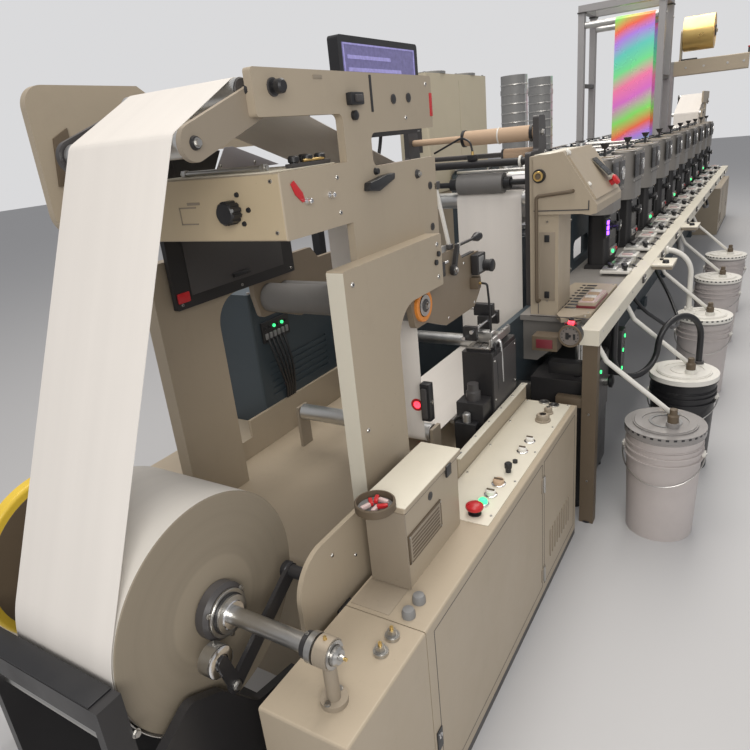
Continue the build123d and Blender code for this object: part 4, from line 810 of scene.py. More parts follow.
def gear_cover_details(centre, index):
    """Door seam, hinges, latch, vents and hub screws on one gear cover."""
    face = 1140
    s = Shape(centre)
    s.use(COAL).seam(-210, 210, face, face + 0.8, 858, 1266)
    for z in (920, 1200):
        s.use(STEEL).bar(-214, face + 6, (z - 28, z + 28), 6, 12)
        s.use(SHADED_CREAM).box(-214, -180, face, face + 3, z - 24, z + 24, 1)
    s.use(PLASTIC).box(176, 202, face, face + 16, 1030, 1090, 4)
    s.use(CHROME).bar(189, (face, face + 5), 1110, 9, 18)
    for i in range(7):
        s.use(COAL).box(-150, -80, face, face + 2.4, 900 + i * 16, 907 + i * 16, 1)
    for i in range(8):
        angle = math.radians(45 * i + 22)
        s.use(STEEL).bolt((47 * math.cos(angle), 1230, 1060 + 47 * math.sin(angle)), AWAY, 5, 4)
    s.use(COAL).ring((0, 1140, 1060), AWAY, 78, 62.2, 0, 6, 1.5)
    s.use(CHROME).lathe((0, 1230, 1060), AWAY, [(24, 0), (24, 4), (18, 8), (0.1, 8)])
    for dx, dz in product((-222, 222), (850, 1275)):
        s.use(STEEL).screw((dx, face, dz), AWAY, 5)
    s.use(GREY).box(-226, 226, 960, 1130, 1290, 1293, 1)
    s.use(PLASTIC).pipe([(120, 1100, 1290), (124, 1100, 1330), (180, 1090, 1346), (300, 1080, 1340)], 10)
    s.done(f"gear_cover_fittings_{index + 1}", "cream")


# Rings and jaw bolts on both chucks, and the bright ring by the shaft
for side, label in ((1, "near"), (-1, "far")):
    y = 338 if side > 0 else gear(338)
    s = Shape().use(STEEL).ring((ROLL_X, y, ROLL_Z), AWAY, 52, 22, *span(-6 * side))
    s.use(BLACK).ring((ROLL_X, y - side * 6, ROLL_Z), AWAY, 44, 22, *span(-4 * side))
    for i in range(3):
        angle = math.radians(120 * i + 30)
        s.use(STEEL).bolt(
            (ROLL_X + 56 * math.cos(angle), y - side * 0.5, ROLL_Z + 56 * math.sin(angle)), (0, -side, 0), 4.5, 4
        )
    s.use(CHROME).ring((ROLL_X, y - side * 12, ROLL_Z), AWAY, 31, 19.6, *span(-9 * side), 2)
    s.done(f"chuck_rings_{label}", "steel", "unwind_roll")

# Keyway, valve in the shaft's end and a screw collar beside the bearing
s = Shape().use(STEEL).bar(ROLL_X, (50.5, 42), ROLL_Z, 7, 12, 5)
s.use(BRASS).bar(ROLL_X, (42, 36), ROLL_Z, 3.5, 10)
s.use(BLACK).ring((ROLL_X, 118, ROLL_Z), AWAY, 27, 19.5, 0, 12, 1.5)
s.use(STEEL).bolt((ROLL_X, 124, ROLL_Z + 27), UP, 3, 3)
s.done("shaft_details", "steel", "unwind_roll")

# Bolts, bushes and oilers of the bearing pedestals
s = Shape()
for y, side in both(81):
    for x in (58, 102):
        s.use(STEEL).bolt((x, y, 588), UP, 5, 4)
    s.use(STEEL).ring((ROLL_X, y, ROLL_Z), AWAY, 28, 20.5, 15 * side, 17.5 * side, 0.6)
    s.use(BRASS).bar(ROLL_X, y, (731, 738), 4, 10, 3)
s.done("bearing_details", "steel")

# Grip, screws and the pad's face on the brake arm
s = Shape().use(PLASTIC).lathe((240, 308, 706), NEAR, [(0.1, -2), (17, -2), (20, 1), (20, 12), (16, 17), (0.1, 18)])
s.use(CHROME).lathe((5, 298, 650), NEAR, [(33, 0.0), (33, 3), (29, 5), (18, 5), (16, 3), (0.1, 3)])
s.use(STEEL).bolt((25, 288, 575), NEAR, 9, 6)
s.bolt((130, 288, 641), NEAR, 6, 5)
s.use(BROWN).ring((ROLL_X, 880, ROLL_Z), AWAY, 192, 101, -0.8, 0, 0.3, 64)
s.done("brake_details", "black_metal")

# Bolts, a rubber strip and a rod on the floor cradle
s = Shape()
for y0 in (326.5, gear(349.5)):
    for x, z in ((-180, 640), (-180, 560), (-20, 300), (60, 170), (200, 330), (240, 120)):
        face = y0 if y0 < MIDDLE else y0 + 23
        s.use(STEEL).bolt((x, face + (3.5 if y0 < MIDDLE else 0), z), (0, -1 if y0 < MIDDLE else 1, 0), 7, 5)
s.use(PLASTIC).box(-234, -186, 353, 907, 740, 744, 1.5)
s.use(STEEL).bar(-210, (352, 908), 640, 9, 14)
s.done("cradle_details", "black_metal")

# The stretch of web that follows the roll down to the cradle
s = Shape().use(PAPER)
low, high = [(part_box("paper_web")[i][1] - CORNER.y) * 1000 for i in (0, 1)]
rows = []
for i in range(41):
    angle = math.radians(156.2 + 1.75 * i)
    spots = ((low, 255), (high, 255), (high, 256), (low, 256))
    rows.append([
        s.mesh.verts.new(at(ROLL_X + r * math.cos(angle), y, ROLL_Z + r * math.sin(angle))) for y, r in spots
    ])
s.skin(rows).done("web_lead", "paper")

# Raised inner plate, and the knobs, lamps, sockets and screws on the base top
top = 578
s = Shape().use(IVORY).box(742, 1598, 20, 196, 576, 578.5, 0.8)
s.use(SHADED_CREAM).box(330, 424, 100, 204, 576, 577.5, 0.6)
for x in range(790, 1600, 200):
    s.use(STEEL).screw((x, 186, 578.5), UP, 4)
    s.screw((x, 30, 578.5), UP, 4)
s.done("base_top_plate", "white_cream")
k = Shape()
k.use(PLASTIC).lathe((784, 76, 577), UP, [(19, 0), (19, 5), (11, 6), (11, 16)])
k.use(RED).lathe((784, 76, 593), UP, [(11, 0), (24, 3), (26, 8), (25, 13), (18, 18), (8, 20), (0.1, 20.5)])
k.use(CHROME).lathe((836, 72, top), UP, [(18, 0), (18, 5), (14, 8)])
k.use(GREEN_GLOW).lathe((836, 72, 586), UP, [(13.5, 0), (13, 8), (9, 12), (0.1, 13)])
for x, material, r in ((892, WHITE, 16), (958, KRAFT, 18), (1180, WHITE, 15), (1258, WHITE, 15)):
    k.use(CHROME).lathe((x, 70, top), UP, [(r + 4, 0), (r + 4, 4), (r, 6)])
    k.use(material).lathe((x, 70, 584), UP, [(r - 1, 0), (r - 1, 9), (r - 4, 12), (0.1, 12)])
    k.use(BROWN).box(x - 2, x + 2, 70 - r + 4, 70 + r - 4, 596, 600, 0.6)
k.use(PLASTIC).lathe((1039, 68, top), UP, [(9, 0), (9, 14), (12, 16), (12, 30), (9, 33), (0.1, 33)])
k.lathe((1103, 68, top), UP, [(8, 0), (8, 9), (0.1, 9)])
for x, r in ((1434, 24), (1500, 15)):
    k.use(SHADED_CREAM).lathe((x, 78, top), UP, [(r + 4, 0), (r + 4, 5), (r, 7), (r, 20), (r - 4, 25), (0.1, 25)])
    k.use(CHROME).lathe((x, 78, 603), UP, [(r * 0.5, 0), (r * 0.5, 2), (0.1, 2)])
for x, y in ((1575, 78), (1592, 120)):
    k.use(STEEL).ring((x, y, top), UP, 20, 13, 0, 5)
    k.use(BLACK).lathe((x, y, top), UP, [(13, 0), (13, 2), (0.1, 2)])
for x in (225, 275):
    k.use(STEEL).bar(x, 60, (576, 584), 17, 24)
    k.bolt((x, 60, 584), UP, 11, 12)
    k.use(BRASS).bar(x, 60, (597, 606), 5, 12, 4)
for x in (348, 400):
    k.use(GREY).lathe((x, 58, 576), UP, [(16, 0), (16, 12), (13, 20), (5, 22), (0.1, 22)])
k.use(BROWN).ring((402, 153, 805), UP, 48, 43, 0, 22, 2)
k.use(GREY).lathe((402, 153, 805), UP, [(42, 0), (42, 6), (0.1, 6)])
for i, (dx, dy) in enumerate(((-16, -10), (4, 14), (18, -12), (-4, -22), (-22, 12), (14, 4))):
    turn = turned(40 * i, "Z")
    k.use(RED if i % 2 else PINK).box(
        402 + dx - 13, 402 + dx + 13, 153 + dy - 5, 153 + dy + 5, 812 + i, 822 + i, 3, turn=turn
    )
k.done("base_buttons", "grey_plastic", replaced=("base_controls",))

# Latches, hinges, vent louvres and door seams of the base boxes
s = Shape()
for place, face, out in ((near, 0, -1), (far, 0, -1), (near, gear(0), 1), (far, gear(0), 1)):
    x = place(342)
    s.use(PLASTIC).box(x - 14, x + 14, face, face + out * 3, 200, 262, 1.4)
    s.use(CHROME).bar(x, (face + out * 3, face + out * 5), 244, 8, 18)
    s.use(BLACK).box(x - 1.4, x + 1.4, face + out * 5, face + out * 5.4, 239, 249)
    for z in (110, 470):
        hinge = place(1180)
        s.use(STEEL).bar(hinge, face + out * 3, (z - 30, z + 30), 5, 12)
        s.use(SHADED_CREAM).box(hinge - 22, hinge + 22, face, face + out * 2, z - 26, z + 26, 0.8)
    for a, b in ((place(356), place(1170)), (place(1190), place(1580))):
        s.use(COAL)
        for z in (60, 548):
            s.box(a, b, face, face + out * 0.6, z - 1, z + 1)
        for x_line in (a, b):
            s.box(x_line - 1, x_line + 1, face, face + out * 0.6, 60, 548)
    for i in range(9):
        low = place(1260 + i * 30)
        s.use(SHADED_CREAM).box(low - 4, low + 4, face, face + out * 3, 130, 240, 1.2)
    # A dark strip along the foot of each face: painted shade of the recessed toe kick by the floor
    s.use(COAL).box(place(4), place(1606), face + out * -6, face + out * 0.5, 2, 26)
s.done("base_doors", "cream")
p = Shape()
for place, x in product(ENDS, (60, 260, 800, 1100, 1500)):
    for y in (35, 175, gear(35), gear(175)):
        p.use(STEEL).bar(place(x), y, (0.4, 3), 16, 18)
p.done("levelling_pads", "steel")

# Lid seam, latch, plaque, hinge pins and hole on the control box
s = Shape().use(BROWN).box(436, 612, 92.5, 96.6, 642, 722, 1.2)
s.use(SHADED_CREAM).box(442, 606, 91.8, 93, 648, 716, 0.6)
for i in range(6):
    s.use(BROWN).box(450, 598, 91.2, 92, 654 + i * 10, 659 + i * 10, 0.3)
for x, z in product((440, 608), (646, 718)):
    s.use(STEEL).bar(x, (92, 90.6), z, 3, 10)
s.use(COAL).bar(562, (96.4, 94), 760, 11, 22)
s.use(BLACK).bar(562, (94, 93.6), 760, 7, 22)
s.use(IVORY).box(424, 736, 88.6, 205, 804.6, 807, 1)
s.use(COAL).box(424, 736, 88, 90, 792, 794)
for x in (470, 690):
    s.use(STEEL).bar((x - 22, x + 22), 206, 800, 5, 12)
s.use(PLASTIC).box(640, 668, 84, 90, 770, 802, 2)
s.use(SHADED_CREAM).box(423.4, 429, 92, 200, 580, 790, 1)
s.use(COAL).box(428.6, 430.4, 112, 182, 620, 740, 0.6)
s.done("control_box_details", "cream")

# Screws, a clip and a hub on the inner guard plate
s = Shape()
for x, z in ((330, 700), (420, 640), (330, 420), (540, 700), (700, 700), (700, 620)):
    s.use(STEEL).screw((x, 240, z), NEAR, 5)
s.use(PLASTIC).box(318, 372, 232, 240, 520, 548, 2)
s.use(COAL).bar(298, (252, 257), 668, 26, 26)
s.use(STEEL).ring((300, 252, 668), AWAY, 18, 12, 4, 8)
s.done("guard_details", "cream")

# The ledges, clips and hoses that lie along the base's inner wall
s = Shape().use(IVORY).box(952, 1606, 190, 214, 641, 645, 1)
for x in range(990, 1600, 120):
    s.use(STEEL).screw((x, 204, 645), UP, 4)
s.use(BROWN).pipe([(745, 206, 600), (850, 204, 600), (945, 206, 590), (960, 222, 560), (1300, 224, 545)], 7)
s.use(PLASTIC).pipe([(760, 212, 585), (900, 216, 582), (1000, 224, 540), (1280, 232, 530)], 6)
s.done("wall_details", "cream")

# Latches, handle, screws and holes on the tower, cross box and support plates
s = Shape()
y = 320
for x, z, r in ((450, 1711, 15), (937, 1687, 9), (1021, 1690, 9), (1120, 1450, 8), (1120, 1330, 8)):
    s.use(COAL).bar(x, (y, y - 3), z, r + 3, 24)
    s.use(BLACK).bar(x, (y - 3, y - 3.6), z, r, 24)
s.use(PLASTIC).lathe((450, 317, 1711), NEAR, [(9, 0), (9, 8), (14, 10), (14, 22), (10, 26), (0.1, 26)])
s.box(712, 768, 303, 320, 1674, 1702, 4)
s.use(COAL).box(726, 752, 296, 306, 1680, 1696, 3)
s.use(PLASTIC).lathe((738, 320, 1652), NEAR, [(11, 0), (11, 9), (7, 12), (0.1, 12)])
s.use(BLACK).box(823, 833, 318.5, 320.6, 1658, 1742, 0.8)
s.use(RED).box(1150, 1166.5, 318.5, 321, 1640, 1702, 1)
s.use(PLASTIC).slab([(750, 1476), (800, 1470), (880, 1492), (884, 1508), (840, 1506), (756, 1496)], "y", 300, 320, 4)
s.bar(815, (320, 310), 1518, 9, 18, 7)
s.use(SHADED_CREAM).box(590, 624, 318.6, 320.5, 1729, 1737, 0.5)
s.use(RED).slab([(462, 1524), (474, 1530), (500, 1502), (505, 1484), (496, 1482), (474, 1500)], "y", 319, 317, 0.6)
for x, z in ((513, 1483), (603, 1485)):
    s.use(CHROME).lathe((x, 320, z), NEAR, [(9, 0), (9, 3), (6, 7), (6, 14), (4, 16), (0.1, 16)])
for x, z in ((640, 1440), (640, 1520), (720, 1300), (1000, 1640), (1130, 1725)):
    s.use(STEEL).screw((x, y, z), NEAR, 5.5)
s.done("tower_fittings", "black_plastic")
p = Shape()
face = 272
for place in ENDS:
    for yy, out in both(face):
        for x, z in ((585, 1280), (585, 560), (750, 560), (1045, 1290), (1045, 1195), (585, 900)):
            p.use(STEEL).screw((place(x), yy, z), (0, out, 0), 7)
for x, z in ((1048, 1262), (1030, 1240)):
    p.use(PLASTIC).bar(x, (272, 266), z, 8, 18)
p.done("support_screws", "steel")

# Plate, marks and small screws on the cross box's front, and the pins and plates on its top, with a black block as
# painted shade under the idler arm
x = 430
s = Shape().use(PLASTIC)
for y, z in ((443, 1511), (416, 1478), (434, 1449)):
    s.bar((x, x - 4), y, z, 6, 14, 5)
for y0, y1, z0, z1 in (
    (574, 628, 1486, 1489), (574, 628, 1449, 1452), (626, 629, 1449, 1489), (560, 600, 1493, 1499)
):
    s.use(SHADED_CREAM).box(x, x - 1, y0, y1, z0, z1)
for y, z in product((345, 905), (1428, 1534)):
    s.use(STEEL).screw((x, y, z), FRONT, 5)
s.done("cross_box_front", "cream")
t = Shape().use(IVORY).box(440, 684, 352, 690, 1550, 1553, 1)
t.use(COAL).box(520, 668, 352, 372, 1553, 1562, 1.5)
for px, py in ((540, 362), (590, 362), (640, 362), (655, 420)):
    t.use(PLASTIC).lathe((px, py, 1553), UP, [(10, 0), (10, 10), (13, 12), (13, 22), (9, 25), (0.1, 25)], 18)
t.use(STEEL).bar(470, (380, 640), 1560, 6, 12)
for py in (390, 630):
    t.use(STEEL).box(462, 478, py - 6, py + 6, 1552, 1568, 1.5)
t.use(BRASS).bar((560, 640), 352, 1566, 3, 10)
# A black block on the far part of the top: painted shade under the idler arm
t.use(BLACK).slab([(462, 1552), (626, 1552), (662, 1606), (462, 1606)], "y", 690, 900, 3)
t.use(LILAC).slab([(642, 1552), (905, 1552), (722, 1612), (690, 1612)], "y", 700, 703, 0.6)
for px in (664, 800):
    t.use(STEEL).screw((px, 700, 1566), NEAR, 5)
t.done("cross_box_top", "cream")

# End caps, nuts and clamp collars at the ends of the guide idlers
s = Shape()
for (x, z), r in (((235, 1620), 24), ((400, 1708), 24)):
    for place in ENDS:
        px = place(x)
        s.use(COAL).ring((px, 352, z), AWAY, r, 9, 0.5, 3.5)
        s.use(BLACK).bar(px, (340, 334), z, 13, 20, 11)
        s.use(STEEL).bolt((px, 334, z), NEAR, 7, 5)
        s.use(STEEL).bolt((px, 702, z), AWAY, 8, 6)
x, z = IDLER_C
for place in ENDS:
    s.use(BLACK).bar(place(x), (320, 312), z, 13, 22, 10)
    s.use(STEEL).bolt((place(x), 312, z), NEAR, 6, 4)
    s.use(STEEL).bolt((place(x), 940, z), AWAY, 8, 5)
s.done("roller_end_fittings", "steel")

# Screws, a hinged flap and a red tag on the dark sheet behind the web, which is the infeed_housing plate painted
# black: a painted shadow on the far tower plate
s = Shape()
for x, z in product((620, 880, 1140), (1190, 1396)):
    s.use(STEEL).screw((x, 904, z), NEAR, 5)
s.use(COAL).box(660, 1100, 901, 904.5, 1210, 1380, 1.5)
s.use(PLASTIC).box(840, 920, 892, 902, 1222, 1236, 3)
s.use(RED).box(604, 650, 898, 904.5, 1196, 1226, 3)
s.done("infeed_shade_sheet_details", "black_metal")

# Inner rings, slots, pins, screw jack and air fittings round the nip
s = Shape()
for y, out in both(309):
    x, z = NIP
    s.use(STEEL).ring((x, y, z), AWAY, 33, 20, *span(2 * out))
    s.use(COAL).lathe((x, y, z), (0, out, 0), [(20, -8), (20, 3), (16, 6), (0.1, 6)])
    s.use(STEEL).bolt((x, y + out * 6, z), (0, out, 0), 8, 5)
for x, z in ((1270, 1216), (1340, 1172), (1460, 1060), (1200, 1020), (1420, 1015)):
    s.use(STEEL).screw((x, 320, z), NEAR, 5)
s.use(BLACK).box(1330, 1440, 322, 338, 1189, 1194, 1)
s.use(STEEL).box(1172, 1216, 322, 338, 1235, 1256, 2)
s.use(BLACK).box(1392, 1466, 290, 316, 1118, 1188, 4)
s.use(GREY).box(1400, 1440, 286, 291, 1128, 1180, 2)
s.use(WHITE).slab([(1172, 1440), (1186, 1440), (1262, 1246), (1246, 1246)], "y", 326, 334, 1)
s.use(COAL).box(1150, 1192, 320, 340, 1432, 1456, 3)
s.box(1240, 1268, 320, 340, 1236, 1252, 3)
s.use(BLACK).box(1120, 1168, 306, 320, 1168, 1214, 3)
s.use(CHROME).bar((1096, 1200), 314, 1206, 5, 12)
s.use(PLASTIC).lathe((1440, 265, 1145), NEAR, [(20, 0), (22, 2), (22, 10), (17, 14), (0.1, 15)], 24)
s.use(BROWN).box(1384, 1416, 290, 320, 1070, 1110, 3)
s.use(BRASS).bar(1400, (290, 282), 1090, 5, 10)
s.use(PLASTIC).pipe([(1400, 282, 1090), (1400, 262, 1088), (1404, 258, 1020), (1420, 262, 920), (1440, 268, 870)], 4)
s.done("nip_fittings", "steel")
h = Shape().use(PLASTIC).lathe(
    (1402, 308, 1244), (1, 0, 0), [(0.1, 0), (8, 0), (15, 30), (16, 34), (12, 37), (0.1, 37)], 20
)
h.use(STEEL).bolt((1235, 302, 1172), NEAR, 9, 6)
h.use(STEEL).ring((1270, 308, 1244), (1, 0, 0), 8, 5.1, 0, 8, 1)
h.done("nip_lever_fittings", "black_metal", "nip_lever")

# Black register sensor beside the falling web, and a painted pool of its red light on the paper
s = Shape().use(PLASTIC).box(1030, 1062, 324, 358, 714, 845, 4)
s.use(COAL).box(1020, 1031, 332, 350, 728, 831, 2)
s.use(STEEL).bar(1046, (321, 324), 780, 7, 16)
# The sensor's red light falling on the paper, painted as a glowing disc inside a red ring
s.use(RED_GLOW).lathe((1066.4, 391, 752), FRONT, [(13, 0), (12, 0.8), (7, 1.4), (0.1, 1.6)], 24)
s.use(RED).ring((1066.6, 391, 752), FRONT, 22, 12, 0, 0.5, 0.2, 28)
s.done("web_sensor", "black_plastic")

# Small bearing plates that carry the last idler below the rewind tower's arms
x, z = 9196.4, 1157
outline = [(x - 24, z - 24), (x + 24, z - 24), (x + 92, 1178), (x + 92, 1232), (x + 24, 1232), (x - 24, z + 28)]
s = Shape()
for y, out in both(272):
    s.use(SHADED_CREAM).slab(outline, "y", min(y, y + out * 8), max(y, y + out * 8), 2)
    s.use(STEEL).bar(x, (y, y - out * 48), z, 12, 20)
    s.use(COAL).lathe((x, y + out * 8, z), (0, out, 0), [(17, 0), (17, 4), (12, 7), (0.1, 7)])
    for px, pz in ((x + 74, 1190), (x + 74, 1220), (x + 36, 1220)):
        s.use(STEEL).bolt((px, y + out * 8, pz), (0, out, 0), 6, 4)
s.done("rear_idler_brackets", "cream")

# Dark pad behind the web on the inner face of the far tower plate
s = Shape().use(BROWN)
s.slab([(350, 1668), (392, 1690), (392, 1640), (352, 1560), (334, 1560)], "y", 913, 919, 1)
s.done("gear_plate_pad", "black_metal")

# Perforated steel plates, actuator, sensor arms and clamps over the web guide
s = Shape().use(STEEL)
s.box(1344, 1424, 236, 326, 864, 870, 1.5)
s.box(1452, 1546, 246, 326, 866, 872, 1.5)
s.use(ALLOY).box(1350, 1540, 232, 244, 872, 900, 2)
s.box(1400, 1436, 250, 322, 872, 912, 3)
for i, j in product(range(5), range(3)):
    s.use(BLACK).bar(1358 + i * 14, 258 + j * 24, (870, 870.5), 4, 12)
for i in range(4):
    s.use(BLACK).bar(1466 + i * 22, 262, (872, 872.6), 6, 14)
    s.bar(1466 + i * 22, 306, (872, 872.6), 4, 12)
    s.use(STEEL).bolt((1360 + i * 56, 238, 900), UP, 5, 4)
s.use(CHROME).bar((1330, 1580), 300, 930, 7, 14)
s.bar((1330, 1580), 330, 905, 7, 14)
for x in (1345, 1480, 1560):
    s.use(BLACK).box(x, x + 22, 288, 338, 893, 944, 3)
s.use(PLASTIC).box(1500, 1530, 286, 360, 940, 985, 4)
s.use(STEEL).bar(1515, (360, 520), 962, 6, 12)
s.use(PLASTIC).box(1498, 1532, 515, 560, 940, 980, 4)
s.use(ALLOY).pipe([(1420, 240, 880), (1416, 226, 876), (1418, 222, 800), (1424, 224, 720)], 6)
s.use(PLASTIC).pipe([(1380, 240, 884), (1370, 228, 880), (1364, 222, 800), (1372, 224, 700)], 5)
s.use(COAL).box(1329, 1561, 219.5, 222.4, 520, 840, 1)
for x, z in product((1342, 1548), (534, 680, 826)):
    s.use(STEEL).screw((x, 219.6, z), NEAR, 4)
s.done("web_guide_fittings", "steel")
b = Shape().use(BLACK).box(1240, 1322, 228, 330, 500, 700, 4)
b.use(PLASTIC).box(1196, 1232, 240, 320, 500, 640, 4)
b.use(STEEL).bar((1200, 1322), 330, 640, 8, 14)
b.use(COAL).lathe((1281, 280, 700), UP, [(26, 0), (26, 30), (20, 36), (20, 60), (0.1, 60)])
b.use(ALLOY).lathe((1216, 280, 640), UP, [(14, 0), (14, 30), (10, 34), (0.1, 34)])
b.done("web_guide_motor", "black_metal")
eye = Shape().use(BLACK).box(1326, 1350, 520, 560, 598, 640, 3)
eye.use(RED_GLOW).lathe((1326, 536, 614), FRONT, [(9, 0), (9, 2), (5, 3), (0.1, 3)])
eye.use(STEEL).bar(1340, 540, (500, 600), 7, 12)
eye.done("web_sensor", "black_metal")

# Raised panel with a dark window, buttons, seams and screws on the console
s = Shape()
s.use(IVORY).slab([(96, 1432), (104, 1440), (26, 1362), (18, 1354)], "x", 2150, 2252, 1.2)
s.use(DARK_GLASS).slab([(90, 1430), (93, 1433), (28, 1368), (25, 1365)], "x", 2160, 2242)
for x in (1905, 2305):
    for y, z in ((125, 1462), (20, 1290)):
        s.use(STEEL).screw((x, y, z + 6), (0, -0.87, 0.5), 4)
s.use(COAL).box(1877.5, 1879.5, 34, 248, 1264, 1268)
s.box(1877.5, 1879.5, 34, 38, 1266, 1300)
s.use(BROWN).lathe((1880, 225, 1400), FRONT, [(22, 0), (22, 6), (17, 8), (17, 16), (0.1, 16)])
s.use(IVORY).box(1884, 2326, 180, 246, 1473.5, 1476, 0.8)
s.done("console_panels", "cream")
b = Shape()
slope = (0, -0.84, 0.54)
b.use(WHITE).lathe((1925, 128, 1476), slope, [(13, -2), (13, 4), (9, 8), (0.1, 8)])
b.use(PINK_GLOW).ring((2288, 40, 1334), slope, 23, 15, -2, 3)
b.use(WHITE).box(1915, 1935, 40, 56, 1346, 1362, 4, turn=turned(-45, "X"))
b.done("console_buttons", "grey_plastic")
p = Shape()
for z in (900, 1060, 1220):
    p.use(STEEL).screw((1900, 200, z), FRONT, 5)
p.use(COAL).box(1899.4, 1901, 236, 239, 842, 1246)
p.use(COAL).box(1899, 2081, 154, 156, 842, 844)
p.use(SHADED_CREAM).box(1897, 1901, 168, 232, 900, 1180, 1)
for z in (925, 1155):
    p.use(PLASTIC).box(1892, 1898, 190, 210, z - 14, z + 14, 2)
p.done("post_details", "cream")
c = Shape().use(PLASTIC)
c.ring((1872, 225, 1398), (1, 0, 0), 26, 14, 0, 8)
c.use(BRASS).ring((1868, 225, 1398), (1, 0, 0), 19, 12, -8, 2)
c.done("conduit_gland", "black_plastic")

# Plain blocks on the screen, and vents, screws and a cable on the monitor's back
s = Shape().use(SCREEN_PALE).seam(1385, 1905, 744.4, 746, 1621, 1909, 5)
for i, (w, z) in enumerate(((300, 1860), (380, 1820), (240, 1780))):
    s.box(1410, 1410 + w, 744.6, 746, z, z + 12)
for i in range(5):
    s.box(1410 + i * 96, 1482 + i * 96, 744.6, 746, 1660, 1720)
s.use(GREY).box(1895, 1915, 744.5, 746, 1603, 1608)
s.done("screen_layout", "screen")
k = Shape()
for i in range(9):
    x = 1440 + i * 50
    k.use(COAL).box(x, x + 34, 786, 788.5, 1850, 1856, 1)
    k.box(x, x + 34, 786, 788.5, 1830, 1836, 1)
for x, z in product((1380, 1910), (1620, 1910)):
    k.use(STEEL).screw((x, 787, z), AWAY, 5)
k.use(BLACK).box(1600, 1690, 787, 800, 1700, 1800, 3)
k.use(PLASTIC).pipe([(1700, 795, 1690), (1702, 805, 1640), (1690, 812, 1560), (1660, 830, 1450)], 7)
k.done("screen_back", "black_plastic")

# Bolts and roller collars between console and first station, and the clamps on the tie bar
s = Shape()
for y, out in both(310):
    for x, z in (*product((2062, 2238), (862, 1100, 1400)), (2062, 1300)):
        s.use(STEEL).bolt((x, y, z), (0, out, 0), 7, 5)
    s.use(STEEL).bolt((2080, y, 1446), (0, out, 0), 9, 6)
    s.bolt((2200, y, 1552), (0, out, 0), 11, 7)
    s.bolt((2236, y, 1470), (0, out, 0), 8, 6)
s.use(BLACK).ring((2200, 345, 1552), AWAY, 36, 24, 0, 14)
s.use(WHITE).ring((2200, 500, 1552), AWAY, 35, 32.2, -3, 3, 0.4)
s.use(PLASTIC).ring((2200, 660, 1552), AWAY, 36, 24, -2, 12)
s.use(COAL).ring((2236, 492, 1470), AWAY, 27, 18, -2, 8)
s.done("riser_fittings", "steel")
k = Shape().use(WHITE).ring((2080, 360, 1446), AWAY, 24, 16.2, 0, 10)
k.use(PLASTIC).box(2066, 2094, 560, 600, 1462, 1486, 3)
k.use(BRASS).bar(2080, 580, (1486, 1500), 6, 12)
k.use(PLASTIC).pipe([(2080, 580, 1500), (2084, 590, 1540), (2110, 640, 1560), (2200, 820, 1500)], 4.5)
k.done("tie_bar_clamps", "black_plastic")

# Keys, cards and screws of the key panel, and the gauge beside it
s = Shape()
for i in range(9):
    x = 1952 + i * 48
    s.use(BLACK).box(x, x + 24, 100, 144, 855.5, 857.5, 1.5)
    s.use(COAL).ring((x + 12, 158, 856), UP, 8, 4, 0, 2.5, 0.5, 16)
s.use(BLACK).box(1812, 1822, 24, 246, 855.6, 857)
for x in (1850, 1905, 2230, 2380):
    s.use(STEEL).screw((x, 34, 856), UP, 4)
s.use(MAROON).box(1960, 2195, 19, 97, 856, 866, 2)
s.use(PINK).box(1972, 2183, 28, 88, 877, 882, 2)
for i in range(4):
    s.use(WHITE if i % 2 else KRAFT).box(1984 + i * 48, 2020 + i * 48, 36, 80, 881, 888, 3)
s.use(BROWN).box(1692, 1760, 100, 200, 752, 812, 3)
s.use(MAROON).box(1688, 1694, 118, 182, 764, 800, 2)
s.done("key_panel_details", "cream")
g = Shape()
g.use(BROWN).ring((1660, *GAUGE), FRONT, 44, 37, 0, 7, 2)
g.use(DIAL).lathe((1660, *GAUGE), FRONT, [(37, 0), (37, 2), (0.1, 2)])
for i in range(11):
    angle = math.radians(-130 + 26 * i)
    y, z = GAUGE[0] + 30 * math.sin(angle), GAUGE[1] + 30 * math.cos(angle)
    g.use(PLASTIC).bar((1658, 1657.2), y, z, 2.2, 8)
g.use(PLASTIC).box(1656.2, 1657.4, GAUGE[0] - 20, GAUGE[0] - 12, GAUGE[1] - 14, GAUGE[1] + 8)
g.box(1656.2, 1657.4, GAUGE[0] + 4, GAUGE[0] + 16, GAUGE[1] - 14, GAUGE[1] + 12)
g.use(PLASTIC).lathe((1657, *GAUGE), FRONT, [(5, 0), (5, 3), (0.1, 3)], 16)
g.use(RED_GLOW).rod((1668, 30, 880), (1668, 52, 884), 9, 18, 7)
g.use(MAROON).bar(1672, (20, 66), 878, 5, 12)
g.done("gauge_dial", "aluminium")

# Outside brackets, slot covers, screws, cable clips and the short hoses along the deck rail
arc = [math.pi * i / 12 for i in range(13)]
s = Shape()
for x in range(1750, 8640, 300):
    s.use(STEEL).screw((x, -57, 832), NEAR, 5)
for x in range(2600, 8600, 600):
    s.use(COAL).box(x, x + 60, -66, -57, 812, 846, 2)
    s.use(STEEL).bar(x + 16, (-66, -70), 829, 6, 14)
    s.bar(x + 44, (-66, -70), 829, 6, 14)
